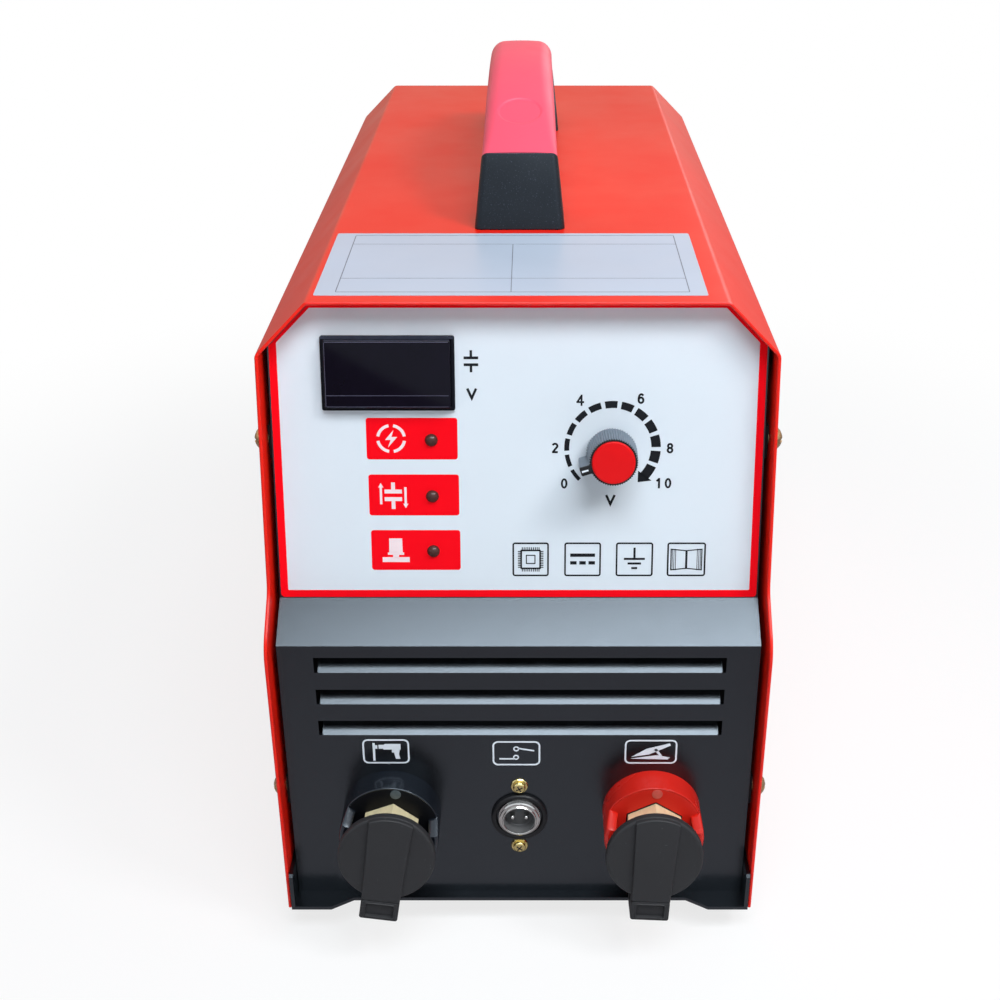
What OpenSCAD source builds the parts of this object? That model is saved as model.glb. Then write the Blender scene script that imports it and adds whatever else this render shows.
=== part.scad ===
// Capacitor-discharge stud welder in a sheet-steel case.
// Millimetres, +Z up, front towards -Y. The part stands on its feet at z = 0.
// Case frame: x across, y back from the cover's lower front edge, z up from its lower edge.

/* [Case] */
// Outer width of the cover
case_w = 185; // [176:1:220]
// Height of the cover
case_h = 242; // [232:1:290]
// Length of the cover along its lower edge
case_len = 407; // [400:1:480]
// Chamfer along the upper side edges of the cover
case_chamfer = 18.4; // [12:0.2:24]
// Sheet thickness of the cover
cover_t = 1.2; // [0.8:0.1:1.6]
// Sheet thickness of the tray and the panels
sheet_t = 1.5; // [1:0.1:2]
// Depth that the panels are set back inside the cover
recess = 8; // [5:0.5:9]
// Lean of the upper front, in degrees
lean = 10.7; // [6:0.1:14]
// Height of the foremost corner of the cover's front edge
bulge_z = 122; // [118:1:126]
// Setback of the knee of the cover's front edge
knee_y = 16.7; // [14:0.1:20]
// Height of the knee of the cover's front edge
knee_z = 137; // [133:1:142]
// Height of the lower edge of the front panel's sloping strip
strip_low_z = 119; // [116:0.5:121]
// Height of the upper edge of the front panel's sloping strip
strip_high_z = 130.4; // [128:0.2:133]
// Height of the rubber feet
foot_h = 12; // [11:1:20]

/* [Controls] */
// Width of the voltage meter
meter_w = 47.8; // [40:0.2:52]
// Height of the voltage meter
meter_h = 27.2; // [24:0.2:29]
// Distance from one indicator lamp to the next
led_pitch = 21.2; // [16:0.2:22]
// Diameter of the control knob at its foot
knob_d = 18.6; // [17:0.2:24]
// Height of the control knob
knob_h = 16; // [14:0.5:20]
// Reach of the knob's pointer from its axis
pointer_reach = 12.2; // [11:0.1:15]
// Turn of the knob at rest, in degrees from the right-hand side
knob_rest = 197; // [-45:1:225]
// Width of an air slot
louvre_w = 153; // [120:1:160]
// Height of an air slot
louvre_h = 6.6; // [5:0.2:8]
// Distance from one air slot to the next
louvre_pitch = 14.2; // [11:0.2:14.6]

/* [Sockets] */
// Distance of each weld socket from the middle
socket_x = 51.5; // [46:0.5:58]
// Height of the weld sockets
socket_z = 43; // [41:0.5:48]
// Outer diameter of a weld socket
socket_d = 38; // [37:0.5:42]
// Reach of a weld socket's ring in front of the panel
socket_reach = 10.7; // [9:0.1:13]
// Reach of the brass contact in front of the panel
contact_reach = 19.4; // [17:0.2:21]
// Width across the flats of the brass contact
contact_flats = 20.5; // [18:0.1:22]
// Bore of the brass contact
contact_bore = 13; // [9:0.1:14]
// Diameter of a dust cap
cap_d = 37; // [32:0.5:38]
// Turn of the black socket from upright, clockwise in degrees
black_turn = 8.7; // [0:0.1:12]
// Turn of the red socket from upright, clockwise in degrees
red_turn = 3.1; // [0:0.1:12]
// Thread diameter of the control socket
barrel_d = 16; // [14:0.5:18]

/* [Handle] */
// Setback of the handle's front foot from the cover's lower front edge
handle_y = 122; // [110:1:130]
// Length of the handle at its feet
handle_len = 200; // [180:1:220]
// Height of the handle above the cover
handle_h = 55; // [50:1:70]
// Thickness of the grip
grip_t = 22; // [18:0.5:26]
// Width of the grip
grip_w = 28.5; // [24:0.5:32]

/* [Works] */
// Size of the square fan
fan_w = 80; // [60:1:92]
// Depth of the fan
fan_t = 25; // [22:1:28]
// Diameter of one storage capacitor
can_d = 63.5; // [50:0.5:65]
// Height of one storage capacitor
can_h = 105; // [85:1:110]
// Length of the mains switch
switch_h = 34; // [31:0.5:40]

/* [Hidden] */
$fn = 48;

// Clearances and cuts
overrun = 2;
fit_gap = 0.2;
side_gap = 0.3;
run_gap = 0.05;
swing_gap = 0.35;

// Colours
red_paint = [0.80, 0.06, 0.04];
black_coat = [0.07, 0.07, 0.08];
dark_grey = [0.20, 0.20, 0.21];
grey_plastic = [0.50, 0.53, 0.56];
steel = [0.72, 0.73, 0.75];
brass = [0.78, 0.62, 0.30];
copper = [0.72, 0.42, 0.26];
white_film = [0.93, 0.94, 0.95];
board_green = [0.08, 0.30, 0.16];

// Case shell
bulge_r = 14;
knee_r = 9;
bend_steps = 6;
miter_share = 2 - sqrt(2);
inner_w = case_w - 2 * cover_t;
inner_h = case_h - cover_t;
inner_chamfer = case_chamfer - cover_t * miter_share;
tray_w = inner_w - 2 * side_gap;
panel_w = tray_w - 2 * sheet_t - 2 * fit_gap;
panel_top = inner_h - fit_gap;
shoulder_fill = 1.7;
panel_chamfer = inner_chamfer - shoulder_fill;
rear_face = case_len - recess;
lean_y = knee_y + recess * cos(lean);
lean_z = knee_z - recess * sin(lean);
tray_middle_y = 4;
tab_reach = 1.2;
tab_w = 15.8;
tab_slant = 8.5;
tray_wall_h = 17.5;
tray_wall_bevel = 1;
flange_depth = 16;
hem_depth = 14;

// Feet and fasteners
foot_r = 13;
foot_taper = 2;
foot_x = 70;
foot_setback = 42;
foot_bore_r = 5.5;
foot_seat = 4;
m3_r = 1.5;
m4_r = 2;
m5_r = 2.5;
m6_r = 3;
foot_head_r = 4;
foot_head_h = 2.8;
m4_flats = 7;
m4_nut_h = 3.2;
foot_shank_tip = 2;
cover_screw_setback = 15;
cover_screw_low_z = 50;
cover_screw_high_z = 188;
cover_head_r = 5;
cover_head_h = 4.2;
cover_shank = 10;
cross_w = 1.3;
cross_depth = 1.6;
cross_reach_share = 0.62;
clip_t = 1.6;
clip_w = 13;
clip_slack = 2;
clip_back = 3.6;

// Upper front panel, measured from the knee up the leaning face
film_t = 0.25;
film_margin = 0.6;
film_low = -4.8;
film_corner = 1.5;
meter_x = -46.5;
meter_l = 80.4;
meter_proud = 3.6;
meter_flange = 1.2;
meter_corner = 0.8;
meter_lip = 1.5;
meter_depth = 18;
lens_t = 1.6;
lens_margin = 1.4;
lens_seat = 1.6;
lens_foot = 0.6;
lens_wall = 1.4;
lens_air = 1;
display_h = 8;
display_share = 0.62;
led_x = -31.5;
led_l = 13.2;
led_count = 3;
led_r = 2.5;
led_proud = 2;
led_h = 8.6;
led_rim_r = 2.9;
led_rim_h = 1;
led_lead_t = 0.6;
led_lead_pitch = 2.54;
board_room = 14.3;
board_w = panel_w - 2 * board_room;
board_h = 62;
board_t = 1.6;
standoff_l = 16;
standoff_flats = 6;
standoff_inset = 6;
board_face = sheet_t + standoff_l;
relay_w = 28;
relay_h = 13;
relay_t = 16;
relay_pitch = 34;
relay_l = 20;
chip_w = 26;
chip_h = 9;
chip_t = 3.5;
chip_l = 44;

// Potentiometer and knob, measured outward from the panel's face
dial_x = 33.8;
dial_l = 51.2;
pot_r = 8.2;
pot_depth = 9;
bushing_r = 3.5;
bushing_l = 3.6;
shaft_r = 3;
shaft_depth = 6.5;
shaft_l = 13;
pot_nut_flats = 10;
pot_nut_h = 2.4;
pot_leg_t = 1;
pot_leg_pitch = 5;
knob_lift = 0.8;
knob_taper = 0.6;
knob_rim = 0.9;
knob_cap_t = 1.6;
knob_cap_proud = 0.7;
knob_well_r = 7;
knob_well_h = 3.4;
pointer_w = 3.2;
pointer_t = 0.9;
flute_count = 60;
flute_r = 0.32;
knob_foot_r = knob_d / 2;
knob_top_r = knob_foot_r - knob_taper;
knob_cap_r = knob_top_r - knob_rim;
knob_top = knob_h - knob_cap_proud - pointer_t;

// Lower front panel
louvre_x = 0.5;
louvre_z = 82.2;
louvre_count = 3;
flap_depth = 3.6;
flap_rise = 2.6;
flap_end_gap = 1.5;
baffle_y = 20.5;
baffle_low = 72;
baffle_h = 44;
baffle_t = 1;
barrel_z = 40;
barrel_reach = 4.4;
barrel_thread = 2.6;
barrel_lip_r = 6.5;
barrel_wall = 2.2;
barrel_depth = 14;
ring_d = 22;
ring_t = 1.8;
ring_bevel = 0.7;
ring_gap = 0.75;
ear_r = 4.5;
ear_t = 2;
barrel_screw_pitch = 29.4;
barrel_head_r = 3.3;
barrel_head_h = 2.4;
barrel_shank = 7;
insert_face = 1.5;
insert_l = 9;
pin_r = 1.1;
pin_pitch = 5.4;
pin_proud = 3;
pin_tail = 4;
key_w = 1.6;
key_h = 1.8;
key_l = 3.5;

// Weld sockets, measured outward from the panel's face
socket_wall = 4;
collar_reach = 18;
collar_low = 4.5;
collar_high = 7.8;
stem_r = 14.8;
stem_l = 14;
shank_r = 9;
shank_l = 28;
stud_r = 6;
stud_l = 14;
bore_depth = 24;
socket_nut_flats = 36;
socket_nut_h = 6;
dot_r = 2;
dot_t = 0.3;
dot_rise = 16.2;
tongue_w = 6.6;
tongue_gap = 0.4;
tongue_top = 16;
tongue_back = 4;
tongue_root = 5;
notch_r = 5;
notch_depth = 0.4;
pivot_drop = 26;
pivot_r = 2;
pin_inset = 0.5;
knuckle_r = 4.6;
black_inset = 1.9;
cap_rise = 21.9;
cap_front = 8.5;
cap_t = 3.6;
cap_tilt = 5.5;
strap_w = 14.8;
strap_top_w = 17;
strap_proud = 1.5;
strap_tail = 5.3;
pocket_w = 10.5;
pocket_h = 5.4;
pocket_depth = 1.2;
pocket_margin = 1.6;
socket_r = socket_d / 2;
cap_back = cap_front - strap_proud - cap_t;
// The closed cap leans back until it meets the top of the contact
contact_top = contact_flats / sqrt(3);
cap_lean = (contact_top + pivot_drop) * sin(cap_tilt);
pivot_reach = contact_reach + (cap_lean - cap_back + run_gap) / cos(cap_tilt);

// Handle: a round arch between two foot blocks
arch_rise = 26;
post_slope = 9;
grip_corner = 6;
post_foot_w = 36.2;
post_foot_len = 30;
post_top_w = 30;
post_screw_in = 15;
post_screw_l = 11;
post_head_r = 5;
post_head_h = 3;
handle_mid = handle_y + handle_len / 2;
post_rise = handle_h - arch_rise;
arch_half = handle_len / 2 - post_slope;
arch_r = (arch_half * arch_half + arch_rise * arch_rise) / (2 * arch_rise);
arch_z = case_h + handle_h - arch_r;
arch_angle = asin(arch_half / arch_r);

// Rear panel, measured outward from its face
fan_z = 160;
fan_bore_share = 0.95;
fan_hole_share = 0.894;
hub_r = 16;
hub_wall = 2;
boss_t = 4;
tube_r = 4;
tube_gap = 1;
axle_r = 1.5;
hub_gap = 1;
rotor_gap = 2;
blade_count = 7;
blade_t = 1.6;
blade_chord = 17;
blade_pitch = 35;
tip_gap = 1.3;
strut_w = 5;
strut_count = 3;
wire_r = 1.2;
ring_lift = 1.7;
eye_r = 4.4;
eye_t = 3;
guard_ring_shares = [0.3, 0.6, 0.9];
fan_shank = 22;
fan_head_r = 3.8;
fan_head_h = 2.6;
switch_x = -55;
switch_z = 70;
switch_w = 24;
switch_rim = 2.5;
switch_lip = 1.4;
switch_depth = 22;
rocker_w = 14;
rocker_len = 21.2;
rocker_play = 1.9;
rocker_well_depth = 13;
rocker_axis = 3;
rocker_axle_r = 1.5;
rocker_axle_l = 1.8;
rocker_dip = 1;
rocker_peak = 5;
rocker_back = 6;
rocker_foot_share = 0.5;
rocker_tilt = 10;
gland_x = 52;
gland_z = 40;
gland_thread_r = 10;
gland_flats = 24;
gland_hex_h = 5;
gland_dome_r = 11.5;
gland_dome_l = 16;
gland_dome_bevel = 4;
gland_bore_r = 5.5;
gland_thread_l = 10;
gland_nut_h = 4;
earth_x = 0;
earth_z = 30;
earth_l = 18;
m6_flats = 10;
m6_nut_h = 5;
m6_head_h = 4;

// Works on the tray
bank_x = 40.5;
bank_y = 146;
bank_pitch = 67;
bank_rows = 3;
terminal_pitch = 22;
terminal_r = 5;
terminal_h = 6;
plate_side = 3.8;
plate_end = 6;
plate_w = 2 * bank_x + can_d + 2 * plate_side;
plate_t = 4;
plate_z = 70;
post_r = 4;
bar_t = 3;
bar_w = 14;
bar_end = 8;
bar_screw_r = 4;
bar_screw_h = 3;
bar_shank = 6;
lug_drop = 12;
contact_nut_flats = 19;
contact_nut_h = 8;
core_w = 76;
core_h = 62;
core_t = 36;
core_y = 80;
limb_w = 24;
yoke_h = 13;
coil_end = 9;
coil_gap = 0.5;
sink_w = 120;
sink_len = 34;
sink_y = 348;
sink_h = 46;
sink_base = 8;
fin_t = 3;
fin_count = 11;
thyristor_w = 80;
thyristor_h = 28;
thyristor_len = 30;
thyristor_x = -18;
bridge_w = 26;
bridge_h = 10;
bridge_x = 42;
resistor_w = 16;
resistor_h = 15;
resistor_len = 50;
resistor_x = -75;
resistor_core_r = 5;
resistor_end = 7;
lug_face = recess + shank_l;
terminal_top = sheet_t + can_h + terminal_h;

// Overall reach, which centres the part on its own box
front_reach = pivot_reach - recess + cap_front * cos(cap_tilt) + strap_tail * sin(cap_tilt);
rear_reach = max(gland_hex_h + gland_dome_l, earth_l) - recess;
case_mid = (case_len + rear_reach - front_reach) / 2;

// Outlines

function unit(v) = v / norm(v);
function flip(points) = [for (i = [len(points) - 1:-1:0]) points[i]];
function right_of(a, b) = let (d = unit(b - a)) [d[1], -d[0]];

// The line that runs a distance t to the right of an open line
function beside(points, t) = let (last = len(points) - 1) [
    for (i = [0:last])
        let (n1 = i == 0 ? right_of(points[0], points[1]) : right_of(points[i - 1], points[i]))
        let (n2 = i == last ? n1 : right_of(points[i], points[i + 1]))
        points[i] + t * (n1 + n2) / (1 + n1 * n2)
];
function band(points, t) = concat(points, flip(beside(points, t)));

// The arc that rounds corner b between a and c
function corner(a, b, c, r) =
    let (u = unit(a - b), w = unit(c - b))
    let (half = acos(u * w) / 2)
    let (centre = b + unit(u + w) * r / sin(half))
    let (start = b + u * r / tan(half) - centre, finish = b + w * r / tan(half) - centre)
    let (from = atan2(start[1], start[0]), turn = atan2(cross(start, finish), start * finish))
    [for (i = [0:bend_steps])
        centre + r * [cos(from + turn * i / bend_steps), sin(from + turn * i / bend_steps)]];

// A closed outline whose corners have the radii given, with 0 for a sharp one
function rounded(points, radii) = let (n = len(points)) [
    for (i = [0:n - 1])
        each radii[i] == 0 ? [points[i]]
            : corner(points[(i + n - 1) % n], points[i], points[(i + 1) % n], radii[i])
];

function rounded_box(w, h, r) = rounded(
    [[-w / 2, -h / 2], [w / 2, -h / 2], [w / 2, h / 2], [-w / 2, h / 2]], [r, r, r, r]);

// Inverted U with chamfered shoulders
function arch(w, h, c) = [
    [-w / 2, 0], [-w / 2, h - c], [-w / 2 + c, h], [w / 2 - c, h], [w / 2, h - c], [w / 2, 0]];

function front_edge_y(z) = knee_y + (z - knee_z) * tan(lean);
function panel_y(z) = lean_y + (z - lean_z) * tan(lean);
function lean_l(z) = (z - lean_z) / cos(lean);

panel_face = [
    [recess, sheet_t], [recess, strip_low_z], [panel_y(strip_high_z), strip_high_z],
    [panel_y(case_h), case_h]];

cover_side = rounded(
    [[0, -overrun], [0, bulge_z], [knee_y, knee_z], [front_edge_y(case_h + overrun), case_h + overrun],
        [case_len, case_h + overrun], [case_len, -overrun]],
    [0, bulge_r, knee_r, 0, 0, 0]);

// Places of the cover's screws: y, z and the turn that points to the free edge of the flange behind
cover_screw_places = [
    [cover_screw_setback, cover_screw_low_z, 0],
    [front_edge_y(cover_screw_high_z) + cover_screw_setback, cover_screw_high_z, 0],
    [case_len - cover_screw_setback, cover_screw_low_z, 180],
    [case_len - cover_screw_setback, cover_screw_high_z, 180]];

// Frames

module in_case() {
    translate([0, -case_mid, foot_h]) children();
}

// On the leaning face: x across, y up the face from the knee, z outward
module on_lean(x, l, z = 0) {
    in_case() translate([0, lean_y, lean_z]) rotate([90 - lean, 0, 0]) translate([x, l, z]) children();
}

// On the lower front face: x across, y up, z outward
module on_front(x, up, z = 0) {
    in_case() translate([0, recess, 0]) rotate([90, 0, 0]) translate([x, up, z]) children();
}

// On the rear face as seen from behind: x across, y up, z outward
module on_rear(x, up, z = 0) {
    in_case() translate([0, rear_face, 0]) rotate([90, 0, 180]) translate([x, up, z]) children();
}

module on_floor(x, y, z = 0) {
    in_case() translate([x, y, sheet_t + z]) children();
}

// At each side screw: z points out of the cover's side, whose outer face is at z = 0
module at_cover_screws() {
    for (side = [-1, 1])
        for (place = cover_screw_places)
            in_case() translate([side * case_w / 2, place[0], place[1]]) rotate([0, side * 90, 0])
                rotate([0, 0, place[2]]) children();
}

module at_feet() {
    for (x = [-foot_x, foot_x])
        for (y = [foot_setback, case_len - foot_setback])
            in_case() translate([x, y, 0]) children();
}

module at_louvres() {
    for (i = [0:louvre_count - 1])
        on_front(louvre_x, louvre_z + i * louvre_pitch) children();
}

module at_barrel_screws() {
    for (side = [-1, 1])
        on_front(0, barrel_z + side * barrel_screw_pitch / 2) children();
}

module at_leds() {
    for (i = [0:led_count - 1])
        on_lean(led_x, led_l + i * led_pitch) children();
}

module at_board_corners() {
    for (side = [-1, 1])
        for (l = [standoff_inset, board_h - standoff_inset])
            on_lean(side * (board_w / 2 - standoff_inset), l) children();
}

module at_fan_corners() {
    reach = fan_w * fan_hole_share / 2;
    for (x = [-reach, reach])
        for (up = [-reach, reach])
            on_rear(x, fan_z + up) children();
}

module at_handle_screws() {
    for (y = [handle_y + post_screw_in, handle_y + handle_len - post_screw_in])
        in_case() translate([0, y, inner_h]) children();
}

module at_cans() {
    for (side = [-1, 1])
        for (row = [0:bank_rows - 1])
            on_floor(side * bank_x, bank_y + row * bank_pitch) children();
}

module at_terminals() {
    for (side = [-1, 1])
        at_cans() translate([side * terminal_pitch / 2, 0, can_h]) children();
}

module at_plate_posts() {
    for (row = [0:bank_rows])
        on_floor(0, bank_y + (row - 1 / 2) * bank_pitch) children();
}

// Place of a weld socket across the panel: -1 is the black one, set a little inward, 1 the red one
function weld_x(side) = side * socket_x + (side < 0 ? black_inset : 0);

// At a weld socket, turned as it is tightened
module at_socket(side) {
    on_front(weld_x(side), socket_z) rotate([0, 0, side < 0 ? -black_turn : -red_turn]) children();
}

// At a socket's hinge: x along the pin, y up the socket, z outward
module at_pivot(side) {
    at_socket(side) translate([0, -pivot_drop, pivot_reach]) children();
}

// Shapes

// A side-view outline (y, z) carried across x
module across(width) {
    rotate([90, 0, 90]) translate([0, 0, -width / 2]) linear_extrude(width) children();
}

// A front-view outline (x, z) carried back along y
module along(length) {
    translate([0, length, 0]) rotate([90, 0, 0]) linear_extrude(length) children();
}

// On a face: an outline (outward, up) carried across x
module sideways(width) {
    rotate([0, -90, 0]) translate([0, 0, -width / 2]) linear_extrude(width) children();
}

module block(size) {
    translate([-size[0] / 2, -size[1] / 2, 0]) cube(size);
}

// A round rod across x
module rod(r, length) {
    rotate([0, 90, 0]) translate([0, 0, -length / 2]) cylinder(h = length, r = r);
}

module hex(flats, height) {
    rotate([0, 0, 30]) cylinder(h = height, r = flats / sqrt(3), $fn = 6);
}

module tube(outer_r, inner_r, height) {
    difference() {
        cylinder(h = height, r = outer_r);
        translate([0, 0, -overrun]) cylinder(h = height + 2 * overrun, r = inner_r);
    }
}

module hex_nut(flats, height, bore_r) {
    difference() {
        hex(flats, height);
        translate([0, 0, -overrun]) cylinder(h = height + 2 * overrun, r = bore_r);
    }
}

// A round hole from a face inward
module hole(r, depth) {
    translate([0, 0, -depth - overrun]) cylinder(h = depth + 2 * overrun, r = r);
}

// A square hole from a face inward
module cutout(w, h, depth) {
    translate([0, 0, -depth - overrun]) block([w, h, depth + 2 * overrun]);
}

// Domed cross-head screw: head above z = 0, shank below
module screw(shank_r, shank_l, head_r, head_h) {
    dome_r = (head_r * head_r + head_h * head_h) / (2 * head_h);
    difference() {
        union() {
            intersection() {
                cylinder(h = head_h + overrun, r = head_r + overrun);
                translate([0, 0, head_h - dome_r]) sphere(r = dome_r);
            }
            translate([0, 0, -shank_l]) cylinder(h = shank_l + head_h / 2, r = shank_r);
        }
        for (turn = [0, 90])
            rotate([0, 0, turn]) translate([0, 0, head_h - cross_depth])
                block([2 * head_r * cross_reach_share, cross_w, cross_depth + overrun]);
    }
}

// Case

module base_tray() {
    half = tray_w / 2;
    outline = [
        [-half, rear_face], [-half, -tab_reach], [-half + tab_w, -tab_reach],
        [-half + tab_w + tab_slant, tray_middle_y], [half - tab_w - tab_slant, tray_middle_y],
        [half - tab_w, -tab_reach], [half, -tab_reach], [half, rear_face]];
    wall = [
        [-tab_reach, 0], [-tab_reach, tray_wall_h - tray_wall_bevel],
        [tray_wall_bevel - tab_reach, tray_wall_h], [rear_face, tray_wall_h], [rear_face, 0]];
    color(black_coat) difference() {
        in_case() {
            linear_extrude(sheet_t) polygon(outline);
            for (side = [-1, 1])
                translate([side * (half - sheet_t / 2), 0, 0]) across(sheet_t) polygon(wall);
        }
        at_feet() translate([0, 0, sheet_t]) hole(m4_r + fit_gap, sheet_t);
    }
}

// The room for a panel inside the cover
module panel_room() {
    along(case_len) polygon(arch(panel_w, panel_top, panel_chamfer));
}

// The tongue of an air slot, bent inward from its lower edge
module louvre_flap() {
    low = -louvre_h / 2;
    sideways(louvre_w - 2 * flap_end_gap)
        polygon([[0, low - sheet_t], [0, low], [-flap_depth, low + flap_rise],
            [-flap_depth, low + flap_rise - sheet_t], [-sheet_t, low - sheet_t]]);
}

module front_panel() {
    color(black_coat) {
        difference() {
            in_case() intersection() {
                union() {
                    across(panel_w) polygon(band(panel_face, sheet_t));
                    for (side = [-1, 1])
                        translate([side * (panel_w - sheet_t) / 2, 0, 0]) across(sheet_t)
                            polygon(band(panel_face, flange_depth));
                    translate([0, recess + hem_depth / 2, sheet_t]) block([panel_w, hem_depth, sheet_t]);
                }
                panel_room();
            }
            at_louvres() cutout(louvre_w, louvre_h, sheet_t);
            on_lean(meter_x, meter_l)
                cutout(meter_w - 2 * meter_lip + 2 * fit_gap, meter_h - 2 * meter_lip + 2 * fit_gap, sheet_t);
            at_leds() hole(led_r + fit_gap, sheet_t);
            on_lean(dial_x, dial_l) hole(bushing_r + fit_gap, sheet_t);
            for (side = [-1, 1])
                on_front(weld_x(side), socket_z) hole(stem_r + fit_gap, sheet_t);
            on_front(0, barrel_z) hole(barrel_d / 2 + fit_gap, sheet_t);
            at_barrel_screws() hole(m3_r + fit_gap, sheet_t);
            at_cover_screws() hole(m5_r + fit_gap, cover_shank);
        }
        at_louvres() louvre_flap();
    }
}

// Insulating sheet between the air slots and the live bars, held by the panel's side flanges
module louvre_baffle() {
    color(dark_grey) in_case() translate([0, baffle_y, baffle_low])
        block([panel_w - 2 * sheet_t - 2 * fit_gap, baffle_t, baffle_h]);
}

module rear_panel() {
    color(black_coat) difference() {
        in_case() intersection() {
            union() {
                translate([0, rear_face - sheet_t, sheet_t]) along(sheet_t) polygon(arch(panel_w, case_h, 0));
                for (side = [-1, 1])
                    translate([side * (panel_w - sheet_t) / 2, rear_face - flange_depth / 2, sheet_t])
                        block([sheet_t, flange_depth, case_h]);
                translate([0, rear_face - hem_depth / 2, sheet_t]) block([panel_w, hem_depth, sheet_t]);
            }
            panel_room();
        }
        on_rear(0, fan_z) hole(fan_w * fan_bore_share / 2, sheet_t);
        at_fan_corners() hole(m4_r + fit_gap, sheet_t);
        on_rear(switch_x, switch_z)
            cutout(switch_w - 2 * switch_lip + 2 * fit_gap, switch_h - 2 * switch_lip + 2 * fit_gap, sheet_t);
        on_rear(gland_x, gland_z) hole(gland_thread_r + fit_gap, sheet_t);
        on_rear(earth_x, earth_z) hole(m6_r + fit_gap, sheet_t);
        at_cover_screws() hole(m5_r + fit_gap, cover_shank);
    }
}

module cover() {
    color(red_paint) difference() {
        in_case() intersection() {
            translate([0, -overrun, 0]) along(case_len + 2 * overrun)
                polygon(concat(
                    arch(case_w, case_h, case_chamfer),
                    flip(arch(inner_w, inner_h, inner_chamfer))));
            across(case_w + 2 * overrun) polygon(cover_side);
        }
        at_cover_screws() hole(m5_r + fit_gap, cover_t);
        at_handle_screws() translate([0, 0, cover_t]) hole(m5_r + fit_gap, cover_t);
    }
}

module cover_screws() {
    color(brass) at_cover_screws() screw(m5_r, cover_shank, cover_head_r, cover_head_h);
}

// Spring clips over the panels' flanges, which take the cover's screws
module clip_nuts() {
    face = (case_w - panel_w) / 2;
    edge = recess + flange_depth - cover_screw_setback + clip_slack;
    length = clip_back + edge + clip_t;
    color(steel) at_cover_screws() difference() {
        translate([0, length / 2 - clip_back, -face - sheet_t - clip_t])
            block([clip_w, length, sheet_t + 2 * clip_t]);
        translate([0, edge / 2 - clip_back, -face - sheet_t])
            block([clip_w + 2 * overrun, edge + 2 * clip_back, sheet_t]);
        hole(m5_r + run_gap, cover_shank);
    }
}

module rubber_feet() {
    color(dark_grey) at_feet() difference() {
        translate([0, 0, -foot_h]) cylinder(h = foot_h, r1 = foot_r - foot_taper, r2 = foot_r);
        hole(m4_r + fit_gap, foot_h);
        translate([0, 0, -foot_h - overrun]) cylinder(h = foot_h - foot_seat + overrun, r = foot_bore_r);
    }
}

module foot_fasteners() {
    color(steel) at_feet() {
        translate([0, 0, -foot_seat]) rotate([180, 0, 0])
            screw(m4_r, foot_seat + sheet_t + m4_nut_h + foot_shank_tip, foot_head_r, foot_head_h);
        translate([0, 0, sheet_t]) hex_nut(m4_flats, m4_nut_h, m4_r + run_gap);
    }
}

// Controls on the leaning face

module panel_overlay() {
    half = panel_w / 2 - film_margin;
    top = lean_l(panel_top) - film_margin;
    shoulder = lean_l(panel_top - panel_chamfer) - film_margin;
    outline = rounded(
        [[-half, film_low], [half, film_low], [half, shoulder], [half - panel_chamfer, top],
            [-half + panel_chamfer, top], [-half, shoulder]],
        [film_corner, film_corner, 0, 0, 0, 0]);
    color(white_film) difference() {
        on_lean(0, 0) linear_extrude(film_t) polygon(outline);
        on_lean(meter_x, meter_l, film_t)
            cutout(meter_w - 2 * meter_lip + 2 * fit_gap, meter_h - 2 * meter_lip + 2 * fit_gap, film_t);
        at_leds() hole(led_r + fit_gap, film_t);
        on_lean(dial_x, dial_l) hole(bushing_r + fit_gap, film_t);
    }
}

module meter_bezel() {
    lens_w = meter_w - 2 * lens_margin;
    lens_h = meter_h - 2 * lens_margin;
    color(black_coat) on_lean(meter_x, meter_l, film_t) difference() {
        union() {
            linear_extrude(meter_flange) polygon(rounded_box(meter_w, meter_h, meter_corner));
            translate([0, 0, -meter_depth])
                block([meter_w - 2 * meter_lip, meter_h - 2 * meter_lip, meter_depth + meter_flange / 2]);
        }
        translate([0, 0, lens_foot]) block([lens_w + fit_gap, lens_h + fit_gap, meter_flange]);
        translate([0, 0, -meter_depth - overrun])
            block([lens_w - 2 * lens_seat, lens_h - 2 * lens_seat, meter_depth + meter_flange + overrun]);
    }
}

// The smoked lens: a shallow box that stands proud of its frame
module meter_lens() {
    lens_w = meter_w - 2 * lens_margin;
    lens_h = meter_h - 2 * lens_margin;
    lens_h_out = meter_proud - lens_foot;
    color([0.05, 0.04, 0.06]) on_lean(meter_x, meter_l, film_t + lens_foot) difference() {
        block([lens_w, lens_h, lens_h_out]);
        translate([0, 0, -overrun])
            block([lens_w - 2 * lens_wall, lens_h - 2 * lens_wall, lens_h_out - lens_t + overrun]);
    }
}

// The meter's board with its numeral block, close behind the lens
module meter_board() {
    room_w = meter_w - 2 * lens_margin - 2 * lens_seat - 2 * fit_gap;
    room_h = meter_h - 2 * lens_margin - 2 * lens_seat - 2 * fit_gap;
    face = film_t + meter_proud - lens_t - lens_air;
    color(board_green) on_lean(meter_x, meter_l, face) {
        translate([0, 0, -display_h]) block([room_w, room_h * display_share, display_h]);
        translate([0, 0, -display_h - board_t]) block([room_w, room_h, board_t]);
    }
}

module indicator_leds() {
    color([0.45, 0.33, 0.26]) at_leds() {
        translate([0, 0, led_proud - led_r]) sphere(r = led_r);
        translate([0, 0, led_proud - led_h]) cylinder(h = led_h - led_r, r = led_r);
        translate([0, 0, led_proud - led_h]) cylinder(h = led_rim_h, r = led_rim_r);
        for (side = [-1, 1])
            translate([side * led_lead_pitch / 2, 0, -board_face])
                block([led_lead_t, led_lead_t, board_face + led_proud - led_h + led_rim_h]);
    }
}

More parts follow.
